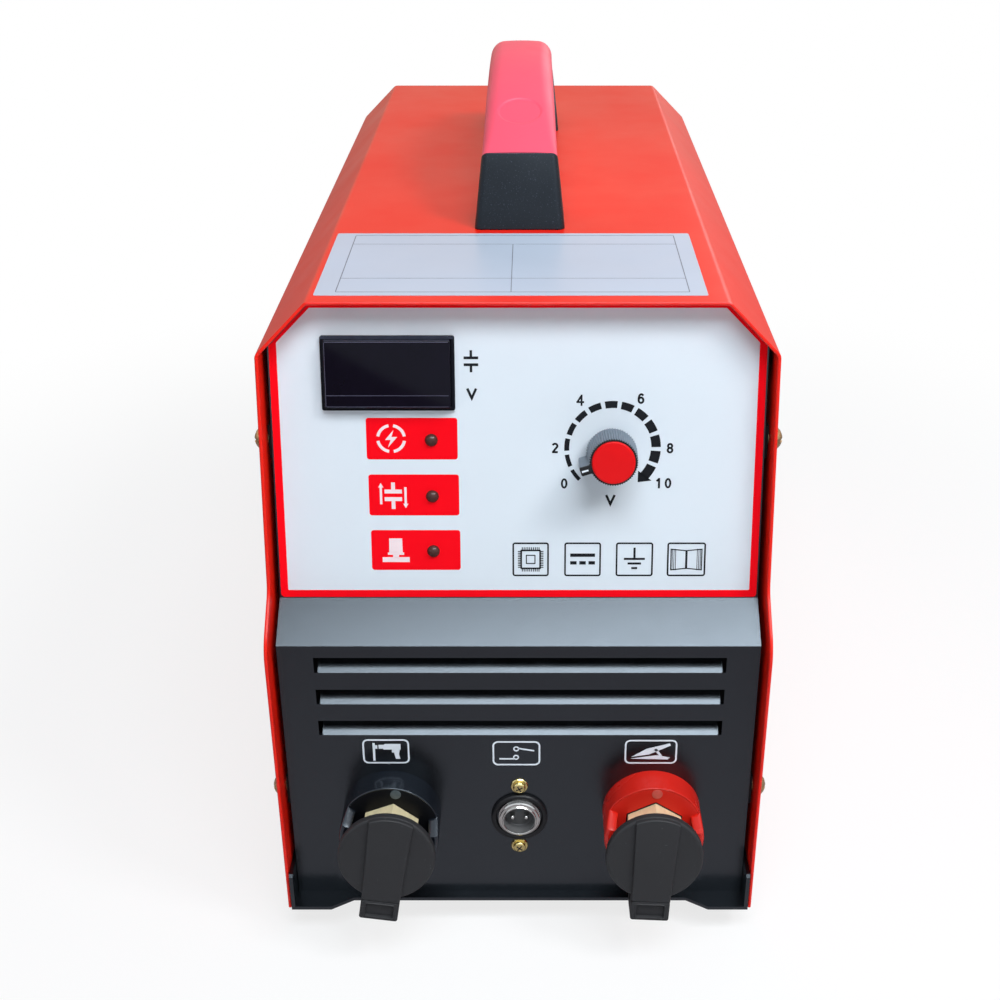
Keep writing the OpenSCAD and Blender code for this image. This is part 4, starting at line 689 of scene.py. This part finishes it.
# Dial scale: twelve marks that grow thicker, angles in degrees, then an arrow
SCALE_R, THIN, THICK, FIRST_MARK, MARK_PITCH, MARK_SPAN = 17.5, 1.4, 3.6, 225, 20.8, 15.6
marks = []
for i in range(12):
    start = FIRST_MARK - MARK_PITCH * i
    marks.append(sector(DIAL, SCALE_R - (THIN + (THICK - THIN) * i / 11), SCALE_R, start - MARK_SPAN, start))
marks.append(sector(DIAL, SCALE_R - THICK, SCALE_R, -43.5, FIRST_MARK - MARK_PITCH * 12))
tip, reach = np.radians([-54.0, -40.4, -42.0]), np.array([15.9, 18.9, 12.7])
marks.append(shifted(np.stack([reach * np.cos(tip), reach * np.sin(tip)], 1), DIAL))
meter_sign = [oblong(-0.45, 1.2, 0.45, 4.0), oblong(-2.6, 0.75, 2.6, 1.75), oblong(-2.6, -1.75, 2.6, -0.75),
              oblong(-0.45, -4.0, 0.45, -1.2)]
marks += [shifted(s, (-16.8, 84.6)) for s in meter_sign]
prints = [slab(s) for s in marks]
for sign, height, centre in (
        ("0", 3.9, (16.7, 39.3)), ("2", 3.9, (13.3, 52.7)), ("4", 4.1, (22.4, 70.4)), ("6", 3.9, (44.1, 71.0)),
        ("8", 3.9, (55.0, 52.6)), ("1", 3.9, (51.0, 39.4)), ("0", 3.9, (54.6, 39.4)), ("V", 4.2, (33.65, 32.8)),
        ("V", 4.3, (-16.65, 72.55))):
    prints += figure(sign, height, centre)

# Four framed signs: a chip with its pins, direct current, ground, an open book
frames = [(-2.3, 3.4, 11.2, 16.6), (16.9, 3.4, 30.5, 16.6), (36.0, 3.4, 49.8, 16.6), (55.0, 3.4, 69.3, 16.6)]
prints += [band(oblong(*f, 1.0), 0.62) for f in frames]
chip_at, steady_at, ground_at, book_at = (((f[0] + f[2]) / 2, (f[1] + f[3]) / 2) for f in frames)
PIN_OUT, PIN_HALF_W, PIN_HALF_L = 4.2, 0.17, 0.55
pins = []
for x in np.linspace(-3.1, 3.1, 10):
    for out in (-PIN_OUT, PIN_OUT):
        pins.append([x - PIN_HALF_W, out - PIN_HALF_L, x + PIN_HALF_W, out + PIN_HALF_L])
        pins.append([out - PIN_HALF_L, x - PIN_HALF_W, out + PIN_HALF_L, x + PIN_HALF_W])
steady = [[-4.6, 1.0, 4.6, 2.3], [-4.6, -2.0, -2.2, -0.7], [-1.2, -2.0, 1.2, -0.7], [2.2, -2.0, 4.6, -0.7]]
ground = [[-0.4, 0.6, 0.4, 4.6], [-3.9, -0.2, 3.9, 0.6], [-2.5, -2.0, 2.5, -1.2], [-1.1, -3.8, 1.1, -3.0]]
prints += [bars(pins, centre=chip_at),
           band(shifted(oblong(-3.8, -3.8, 3.8, 3.8, 0.3), chip_at), 0.6),
           band(shifted(oblong(-1.8, -1.8, 1.8, 1.8, 0.2), chip_at), 0.4),
           bars(steady, centre=steady_at), bars(ground, centre=ground_at)]
PAGE_W = 5.9
for side in (-1, 1):
    page = np.array([[0, -3.7], [PAGE_W, -4.3], [PAGE_W, 4.2], [0, 3.6]]) * [side, 1]
    prints.append(band(shifted(page[::side], book_at), 0.4))
    for edge in (PAGE_W - 0.7, PAGE_W - 1.3, PAGE_W - 1.9):
        sheet = ribbon([(side * edge, -4.2), (side * edge, 4.1)], 0.24)
        prints.append(slab(shifted(sheet, book_at)))
piece("black_film_prints", put(LEANING, *prints), BLACK_PRINT, merge=True)

# Meter
softened("meter_frame", "meter_bezel", 0.25, BEZEL)
softened("meter_window", "meter_lens", 0.5, LENS)
lens_face = FILM_T + LENS_RISE
# Painted highlights: light bars along the lens's top, bottom and left edges and along one inner window edge
lens_highlight_bars = [[-21.8, -7.68, 21.8, -7.46], [-21.8, 11.6, 21.8, 11.85], [-21.8, -11.75, 21.8, -11.55],
              [-22.15, -11.6, -21.95, 11.6]]
piece("painted_lens_glints", put(LEANING, bars(lens_highlight_bars, lens_face - 0.1, lens_face + 0.05, METER)), LENS_HIGHLIGHT)
# Painted sheen: lighter strips on the lens's top edge and on the bezel's top band stand in for the light these
# faces catch from above
lens_sheen_strip = bars([[-22.2, 12.15, 22.2, 12.24]], FILM_T + 1.3, lens_face - 0.1, METER)
bezel_sheen_strip = bars([[-23.6, 12.4, 23.6, 13.5]], FILM_T + 1.1, FILM_T + 1.26, METER)
piece("painted_lens_rim_sheen", put(LEANING, lens_sheen_strip, bezel_sheen_strip), LENS_SHEEN)


# Knob

def fluted(radius, height, depth=0.42, count=60):
    """Circle of a radius at a height, hollowed by count shallow flutes: the radius drops by depth times the root of
    the size of the sine of half the count times the angle."""
    t = around(8 * count)
    r = radius - depth * np.sqrt(np.abs(np.sin(count * t / 2)))
    return np.stack([r * np.cos(t), r * np.sin(t), np.full_like(t, height)], 1)


KNOB_R, KNOB_TAPER, WELL_TOP, WELL_R, INNER_R, SIDE_LOW = 9.3, 0.6, 4.45, 7.0, 7.85, 1.4
well = [fluted(r, z, 0.0) for r, z in ((3.2, WELL_TOP), (WELL_R, WELL_TOP), (WELL_R, KNOB_FOOT), (8.9, KNOB_FOOT))]
side = [fluted(KNOB_R - KNOB_TAPER * k, SIDE_LOW + k * (RIM_LOW - SIDE_LOW)) for k in np.linspace(0, 1, 8)]
rim_r = KNOB_R - KNOB_TAPER
rim = [fluted(rim_r, RIM_LOW), fluted(rim_r, RIM_HIGH - 0.15), fluted(rim_r - 0.15, RIM_HIGH),
       fluted(INNER_R, RIM_HIGH, 0.0), fluted(INNER_R, RIM_LOW, 0.0)]
wing = oblong(7.9, -1.6, 12.2, 1.6, 0.5)
piece("fluted_knob", put(KNOB, loft(well + side), slab(wing, KNOB_FOOT, RIM_LOW, 0.0, 0.3)), GREY_KNOB, "knob",
      ("knob_body",))
piece("knob_rim", put(KNOB, loft(rim, closed=True), slab(wing, RIM_LOW, RIM_HIGH, 0.2)), BLACK_PLASTIC, "knob",
      ("knob_pointer",))
CROWN_R, CROWN_EDGE, CROWN_Z = 7.2, 0.55, 15.35
dome = 1 - np.linspace(0, 1, 12)[1:-1]
crown = np.concatenate([
    [[7.74, RIM_LOW]], oval((CROWN_R, CROWN_Z), CROWN_EDGE, CROWN_EDGE, 0, 90, 7),
    np.stack([CROWN_R * dome, CROWN_Z + CROWN_EDGE + 0.14 * (1 - dome ** 2)], 1)])
piece("red_knob_top", put(KNOB, turned(crown, 96)), RED_KNOB, "knob", ("knob_cap",))
piece("knob_line", put(KNOB, bars([[9.3, -0.32, 11.7, 0.32]], RIM_HIGH - 0.05, RIM_HIGH + 0.06),
                       bars([[12.15, -0.32, 12.26, 0.32]], 14.5, 15.1)), WHITE_PRINT, "knob")


# Weld sockets and their caps

def dust_cap():
    """Dust cap in its own frame: a turned disc with an eased rim, and a strap that widens upward and ends in the
    disc's own arc. The strap's tail is a block whose loops run in over a rim and down into a shallow pocket. Under
    it, two bored lugs swing on the pin: each is a ring from the bore out to a circle below and a box above."""
    ease, top, half = 1.1, CAP_BACK + CAP_T, STRAP_W / 2
    disc = turned(np.concatenate([
        [[0.4, CAP_BACK], [CAP_R - 0.6, CAP_BACK], [CAP_R, CAP_BACK + 0.6]],
        oval((CAP_R - ease, top - ease), ease, ease, 0, 90, 6),
        [[CAP_R - 2.0, top], [0.4, top]]]), 112, (0, CAP_RISE))
    corner = math.degrees(math.acos(STRAP_TOP_W / 2 / CAP_R))
    arch = oval((0, CAP_RISE), CAP_R - 0.25, CAP_R - 0.25, corner, 180 - corner, 25)
    join = 3.3
    strap = np.concatenate([[[-half, join], [half, join], [half, KNUCKLE_R]], arch, [[-half, KNUCKLE_R]]])
    tail = oblong(-half, -STRAP_TAIL, half, join, 0.9, 5)
    pocket = oblong(-5.25, -3.7, 5.25, 1.7, 0.6, 5)
    # Loops of the tail's block: outline, how far in, how far beyond the strap's front face
    steps = ((tail, 0, 5.1 - CAP_FRONT), (tail, 0, -0.65), (tail, 0.16, -0.35), (tail, 0.5, -0.2),
             (pocket, -0.62, -0.2), (pocket, -0.48, 0), (pocket, -0.2, 0), (pocket, 0, -0.4), (pocket, 0.15, -1.3))
    block = loft(at_heights([inset(o, d) for o, d, _ in steps], [CAP_FRONT + z for _, _, z in steps]))
    box = knuckle_reach([[-4.4, -1.0], [4.5, -1.0], [4.5, 5.2], [-4.4, 5.2]])
    upper = np.sin(around(len(box))) > 0
    reach = np.where(upper, box, KNUCKLE_R)
    lugs = [pierced(reach, PIN_BORE_R, low, high) for low, high in ((-half, -LUG_START), (LUG_START, half))]
    return [disc, slab(strap, CAP_BACK + 0.2, CAP_FRONT, edge=0.55), block, *lugs]


def socket_collar():
    """Round wall of a socket: at each angle a section with eased corners. Above the rails it is only a low bead
    round the flush face. Below them it stands forward, and the two ends of that stretch slope down as rounded
    rails."""
    rail, near = math.asin(RAIL_TOP / SOCKET_R), 2e-3
    t = np.sort(np.concatenate([around(264) + 0.003,
                                [rail - near, rail + near, np.pi - rail - near, np.pi - rail + near]]))
    y = SOCKET_R * np.sin(t)
    low = y < RAIL_TOP
    drop = np.clip((RAIL_TOP - y) / (RAIL_TOP - RAIL_END), 0, 1)
    step = 0.6
    front = SOCKET_REACH + np.where(low, step + (COLLAR_REACH - SOCKET_REACH - step) * drop, 0.0)[:, None]
    inner = np.where(low, SOCKET_R - COLLAR_T, SOCKET_R - 0.8)[:, None]
    ease = np.where(low, 1.5, 0.35)[:, None]
    bend = np.linspace(0, np.pi / 2, 7)[None]
    rise, fall = ease * (1 - np.sin(bend)), ease * (1 - np.cos(bend))
    one = np.ones_like(t)[:, None]
    r = np.concatenate([SOCKET_R * one, SOCKET_R - fall, inner + rise, inner, inner], 1)
    z = np.concatenate([0 * one, front - rise, front - fall, (SOCKET_REACH - 1.2) * one, 0 * one], 1)
    return loft(np.stack([r * np.cos(t)[:, None], r * np.sin(t)[:, None], z], -1), closed=True)


def rolled(solid, radius):
    """Flat solid bent round the top of a cylinder: its x becomes an arc, its z a distance outwards, its y the
    axis."""
    p, groups = solid
    r, a = radius + p[:, 2], p[:, 0] / radius
    return np.stack([r * np.sin(a), r * np.cos(a), p[:, 1]], 1), groups


def socket_moulding():
    """Socket moulding: the collar, the stem behind the panel, shallow marks on top and the bored tongue that
    carries the pin."""
    stem = turned([[SOCKET_BORE_R, STEM_END], [STEM_R, STEM_END], [STEM_R, 0.2], [SOCKET_BORE_R, 0.2]], 96,
                  closed=True)
    end = SOCKET_REACH - 0.5
    marks = [rolled(slab(oval((0, end), 5.4, 4.6, 180, 360), -0.4, 0.16, 0.14), SOCKET_R),
             rolled(slab(oblong(-3.3, 0.4, 3.1, end, 0.2), -0.4, 0.07, 0.06), SOCKET_R)]
    pivot = (-PIVOT_DROP, PIVOT_REACH)
    tongue = np.array([[-16, 4], [-16, COLLAR_REACH], [-PIVOT_DROP, PIVOT_REACH + KNUCKLE_R],
                       [-PIVOT_DROP - 0.5, PIVOT_REACH], [-PIVOT_DROP, PIVOT_REACH - KNUCKLE_R], [-21, 4]])
    reach = knuckle_reach(tongue - np.array(pivot))
    return [socket_collar(), stem, *marks, pierced(reach, PIN_BORE_R, -TONGUE_HALF, TONGUE_HALF, pivot)]


face_r, face_z = SOCKET_R - 0.5, SOCKET_REACH - 0.1
socket_face = turned([[SOCKET_BORE_R, 0], [face_r, 0], [face_r, face_z - 0.05], [face_r - 0.2, face_z],
                      [SOCKET_BORE_R, face_z]], 96, closed=True)
# Painted shadow: a thin dark hexagonal plate just proud of the socket face, a little larger than the contact,
# stands in for the shaded gap round it
gap_shadow_outline = oval((0, 0), HEX_SHADOW_R, HEX_SHADOW_R, 30, 330, 6)
gap_shadow_plate = slab(gap_shadow_outline, SOCKET_REACH - 0.3, SOCKET_REACH - 0.04)
gate_mark = slab(circle((0.2, 16.2), 2.05), SOCKET_REACH - 0.3, SOCKET_REACH + 0.1, 0.08)
for colour, gloss, dull, mark in (
        ("black", GLOSS_BLACK, DULL_BLACK, GATE_GREY_AND_KEY_HIGHLIGHT), ("red", GLOSS_RED, DULL_RED, PINK_MARK)):
    socket, plastic = SOCKETS[colour], colour + "_plastic"
    piece(colour + "_socket_moulding", put(socket, *socket_moulding()), gloss,
          stands_for=(colour + "_socket_body",), crease=36)
    piece(colour + "_socket_face", put(socket, socket_face), dull)
    piece(colour + "_painted_gap_shadow", put(socket, gap_shadow_plate), DULL_BLACK)
    piece(colour + "_gate_mark", put(socket, gate_mark), mark)
    softened(colour + "_hex_contact", colour + "_socket_contact", 0.35, BRASS)
    hinge = within(socket, (0, -PIVOT_DROP, PIVOT_REACH), 0.0, -CAP_TILT)
    piece(colour + "_dust_cap", put(hinge, *dust_cap()), CAP_RUBBER, colour + "_cap", (colour + "_socket_cap",),
          crease=34)

# Control socket: a threaded barrel with an eared plate behind, a ring, and two pins on their bed
BARREL_R, THREAD_R, BARREL_BACK = 8.1, 7.8, -14.0
ridge = np.arange(0.45, 2.4, 0.5)
thread = np.stack([np.tile([THREAD_R, BARREL_R, BARREL_R, THREAD_R], len(ridge)),
                   (ridge[:, None] + np.array([0, 0.14, 0.26, 0.4])).ravel()], 1)
barrel_profile = np.concatenate([
    [[BARREL_R, BARREL_BACK], [BARREL_R, -0.1], [THREAD_R, 0.3]], thread,
    [[7.6, 2.55], [6.8, 2.7], [6.8, 3.3], [6.65, 3.5], [6.3, 3.5], [6.15, 3.35], [6.15, BARREL_BACK]]])
ear = rounded([[-4.5, 20.8], [4.5, 20.8], [11, 32], [11, 48], [4.5, 59.2], [-4.5, 59.2], [-11, 48], [-11, 32]], 2.0)
barrel = turned(barrel_profile, 72, CONTROL_AT, closed=True)
piece("threaded_barrel", put(FRONT, barrel, slab(ear, -3.5, -1.5, 0.2)), CHROME,
      stands_for=("control_socket_shell",))
ring_profile = np.concatenate([[[8.75, 0.0], [11.0, 0.0]], oval((9.875, 0.8), 1.125, 1.0, 0, 180, 9)])
piece("gloss_ring", put(FRONT, turned(ring_profile, 72, CONTROL_AT, closed=True)), BLACK_PLASTIC,
      stands_for=("control_socket_ring",))
core = turned([[0.3, -9.0], [6.1, -9.0], [6.1, 3.1], [5.85, 3.1], [5.75, PIN_BED + 0.3], [5.45, PIN_BED],
               [0.3, PIN_BED]], 48, CONTROL_AT)
piece("pin_bed", put(FRONT, core), GREY_BED, stands_for=("control_socket_insert",))
# Painted highlight: the key rib at the top of the bore is light grey so that it shows as a lit strip, though it
# lies in shade
key = bars([[-1.0, 41.2, 0.9, 45.5]], PIN_BED - 0.5, PIN_BED + 0.5)
piece("key_rib_painted_highlight", put(FRONT, key), GATE_GREY_AND_KEY_HIGHLIGHT)
pin = np.concatenate([[[1.0, -12.0]], oval((0, PIN_BED + PIN_RISE), 1.0, 1.0, 0, 90, 7)[:-1]])
piece("round_pins", put(FRONT, *[turned(pin, 32, (x, CONTROL_AT[1])) for x in (-2.7, 2.7)]), CHROME,
      stands_for=("control_socket_pins",))

# Screws of the control socket: a pressed washer and a small domed head, whose cross recess is painted shade: two
# dark bars set into the dome
cross = bars([[-1.35, -0.24, 1.35, 0.24], [-0.24, -1.35, 0.24, 1.35]], 1.6, 2.33)
screw = turned(np.concatenate([
    [[1.5, -7.0], [1.5, 0.0], [3.3, 0.02], [3.35, 0.3], [3.1, 0.62], [2.5, 0.6], [2.42, 1.3]],
    oval((0.2, 1.4), 2.2, 0.9, 0, 90, 9)]), 40)
seats = [within(FRONT, (0, z, 0), turn_by) for z, turn_by in ((54.7, 0.5), (25.3, 0.9))]
for name, solid, finish, nodes in (("washer_screws", screw, YELLOW_ZINC, ("control_socket_screws",)),
                                   ("screw_cross_shade", cross, DARK_INSERT, ())):
    piece(name, put(seats[0], solid) + put(seats[1], solid), finish, stands_for=nodes)

# Bright lower lips of the air slots, bent in from the panel and sweeping up ever more steeply
LIP_R, LIP_RUN, LIP_STEPS, LIP_GAP = 0.9, 4.8, 12, 1.2
edge = oval((-LIP_R, -LIP_R), LIP_R, LIP_R, 0, 57, 7)
slope = np.tan(np.radians(np.linspace(33, 45, LIP_STEPS + 1)))
climb = np.cumsum((slope[1:] + slope[:-1]) / 2) * LIP_RUN / LIP_STEPS
sweep = edge[-1] + np.stack([np.linspace(0, -LIP_RUN, LIP_STEPS + 1)[1:], climb], 1)
lip = np.concatenate([edge, sweep, sweep[-1:] + [[-0.4, -0.4]], [[-1.4, -0.9]]])
ends = SLOT_X - SLOT_W / 2 + LIP_GAP, SLOT_X + SLOT_W / 2 - LIP_GAP
lips = [loft([np.stack([np.full(len(lip), x), foot + lip[:, 1], lip[:, 0]], 1) for x in ends])
        for foot in SLOT_Z + np.arange(3) * SLOT_PITCH - SLOT_H / 2 + 0.1]
piece("slot_lips", put(FRONT, *lips), BLACK_COAT, crease=25)

# White signs over the sockets: a gun, an open contact, a clamp
FACE_LOW, FACE_HIGH = -0.02, 0.06
sign_frames = [(-59.9, 65.5, -42.0, 76.9), (-10.2, 64.6, 8.1, 76.0), (40.4, 65.4, 60.5, 76.6)]
sign_solids = [band(oblong(*f, 2.2), 0.65, FACE_LOW, FACE_HIGH) for f in sign_frames]
gun = [oblong(3.9, 1.4, 4.8, 9.6), oblong(4.7, 7.0, 5.7, 8.6), oblong(6.2, 7.0, 8.1, 8.8),
       [[8.0, 6.6], [14.6, 6.6], [14.6, 9.2], [8.6, 9.2], [8.0, 8.7]],
       [[11.2, 5.2], [12.0, 5.2], [12.6, 2.2], [14.3, 2.2], [13.9, 4.4], [14.3, 6.7], [11.2, 6.7]]]
contacts = [ribbon([(2.6, 3.1), (8.2, 3.1)], 0.6), ribbon([(9.9, 8.0), (16.0, 6.9)], 0.6)]
clamp = [[[2.4, 2.4], [16.6, 2.0], [17.4, 2.9], [12.5, 4.0], [8.6, 3.4]],
         [[2.6, 3.2], [9.4, 4.4], [17.6, 8.6], [17.2, 9.6], [8.4, 7.0]],
         [[13.2, 3.9], [14.4, 3.7], [12.2, 7.2], [11.2, 6.6]]]
for shapes, f in zip((gun, contacts, clamp), sign_frames):
    sign_solids += [slab(shifted(s, f[:2]), FACE_LOW, FACE_HIGH) for s in shapes]
for centre in ((9.0, 3.8), (9.1, 7.8)):
    sign_solids.append(band(shifted(circle(centre, 1.15), sign_frames[1][:2]), 0.5, FACE_LOW, FACE_HIGH))
piece("white_front_signs", put(FRONT, *sign_solids), WHITE_PRINT)

# Plain ruled film on the case top
RULE_LOW, RULE_HIGH = CASE_H + 0.1, CASE_H + 0.16
top_film = slab(oblong(-72.0, 43.5, 67.0, 117.3, 1.0), CASE_H - 0.05, CASE_H + 0.12)
piece("plain_top_film", put(CASE, top_film), LABEL_FILM)
rule_frame = band(oblong(-64.7, 47.0, 60.9, 114.5, 0.6), 0.35, RULE_LOW, RULE_HIGH)
rules = bars([[-64.5, 103.0, 60.7, 103.3], [-2.6, 47.2, -2.3, 103.0], [-64.5, 62.0, 60.7, 62.3]],
             RULE_LOW, RULE_HIGH)
piece("ruled_lines", put(CASE, rule_frame, rules), GREY_PRINT)


# Stage, light and camera

def room_colour(tree, place, span, front, back):
    """Colour that reflections see: it passes from the front to the back of the room over a span of the place's y.
    Everything else sees white."""
    y = grow(tree, "SeparateXYZ", {0: place})["Y"]
    depth = grow(tree, "MapRange", {"Value": y, "From Min": span[0], "From Max": span[1]})["Result"]
    glossy = grow(tree, "LightPath")["Is Glossy Ray"]
    return blend(tree, glossy, (1.0, 1.0, 1.0, 1.0), blend(tree, depth, front + (1.0,), back + (1.0,)))


def looking(tree):
    """One for rays from the camera, from reflections and through glass; otherwise nought."""
    rays = grow(tree, "LightPath")
    seen = rays["Is Camera Ray"]
    for other in ("Is Glossy Ray", "Is Transmission Ray"):
        seen = grow(tree, "Math", {0: seen, 1: rays[other]}, operation="MAXIMUM")[0]
    return seen


def pale_floor():
    """Pale floor that the camera sees as nearly white by its own light, wholly so further out, while its diffuse
    share keeps the object's shadow. Reflections see the room's colours in it."""
    made = bpy.data.materials.new("pale_floor")
    made.use_nodes = True
    tree = made.node_tree
    place = grow(tree, "TexCoord")["Object"]
    span = grow(tree, "VectorMath", {0: place}, operation="LENGTH")["Value"]
    fade = grow(tree, "MapRange", {"Value": span, "From Min": 0.22, "From Max": 0.60, "To Min": 0.78},
                interpolation_type="SMOOTHSTEP")["Result"]
    share = grow(tree, "Math", {0: looking(tree), 1: fade}, operation="MULTIPLY")[0]
    matt = grow(tree, "BsdfDiffuse", {"Color": light(246, 247, 249)})[0]
    room = room_colour(tree, place, (0.2, 0.7), (0.28, 0.25, 0.275), (0.36, 0.30, 0.28))
    glow = grow(tree, "Emission", {"Color": room})[0]
    both = grow(tree, "MixShader", {"Fac": share, 1: matt, 2: glow})[0]
    feed(tree, tree.nodes["Material Output"], {"Surface": both})
    return made


FLOOR_HALF = 6
floor_mesh = bpy.data.meshes.new("floor")
floor_mesh.from_pydata([(x * FLOOR_HALF, y * FLOOR_HALF, 0) for x, y in ((-1, -1), (1, -1), (1, 1), (-1, 1))],
                       [], [(0, 1, 2, 3)])
floor_mesh.materials.append(pale_floor())
floor = bpy.data.objects.new("floor", floor_mesh)
bpy.context.scene.collection.objects.link(floor)

world = bpy.data.worlds.new("white_room")
bpy.context.scene.world = world
world.use_nodes = True
tree = world.node_tree
strength = grow(tree, "MapRange", {"Value": looking(tree), "To Min": 0.14})["Result"]
sky = room_colour(tree, grow(tree, "TexCoord")["Generated"], (-0.1, 0.5), (0.86, 0.93, 1.0), (0.90, 0.60, 0.46))
feed(tree, tree.nodes["Background"], {"Color": sky, "Strength": strength})


def soft_lamp(name, place, target, width, depth, power, colour):
    """Oblong soft lamp at a place, facing a target; lengths in metres, power in watts."""
    lamp = bpy.data.lights.new(name, "AREA")
    lamp.shape, lamp.size, lamp.size_y = "RECTANGLE", width, depth
    lamp.energy, lamp.color = power, colour
    carrier = bpy.data.objects.new(name, lamp)
    carrier.location = place
    carrier.rotation_euler = (Vector(target) - Vector(place)).to_track_quat("-Z", "Y").to_euler()
    bpy.context.scene.collection.objects.link(carrier)


COOL, WHITE = (0.88, 0.95, 1.0), (1.0, 1.0, 1.0)
front_y = CASE_ORIGIN[1]
soft_lamp("overhead_lamp", (0.10, front_y - 0.62, 1.42), (0, front_y + 0.02, 0.13), 0.9, 0.6, 16, COOL)
soft_lamp("front_lamp", (0.8, -1.7, 0.9), (0, 0, 0.15), 1.0, 1.0, 1.5, COOL)
soft_lamp("rear_lamp", (0.9, 1.7, 0.95), (0, front_y + 0.2, 0.15), 1.0, 1.0, 5, COOL)
soft_lamp("key_lamp", (0.70, front_y - 0.35, 1.15), (0, -0.1, 0.2), 0.30, 0.30, 7, WHITE)

# Camera as fitted to the photo's straight edges: its place in the case frame and how far it looks down
CAMERA_AT, CAMERA_DOWN = (5.43, -436.17, 410.26), 26.88
camera = bpy.data.cameras.new("camera")
camera.lens, camera.sensor_width = 51.67, 36.0
camera.shift_x, camera.shift_y = -0.0333, -0.01403
viewer = bpy.data.objects.new("camera", camera)
viewer.location = CASE_ORIGIN + np.array(CAMERA_AT) * MM
viewer.rotation_euler = (math.radians(90 - CAMERA_DOWN), 0, 0)
bpy.context.scene.collection.objects.link(viewer)
bpy.context.scene.camera = viewer
bpy.context.scene.view_settings.view_transform = "Standard"
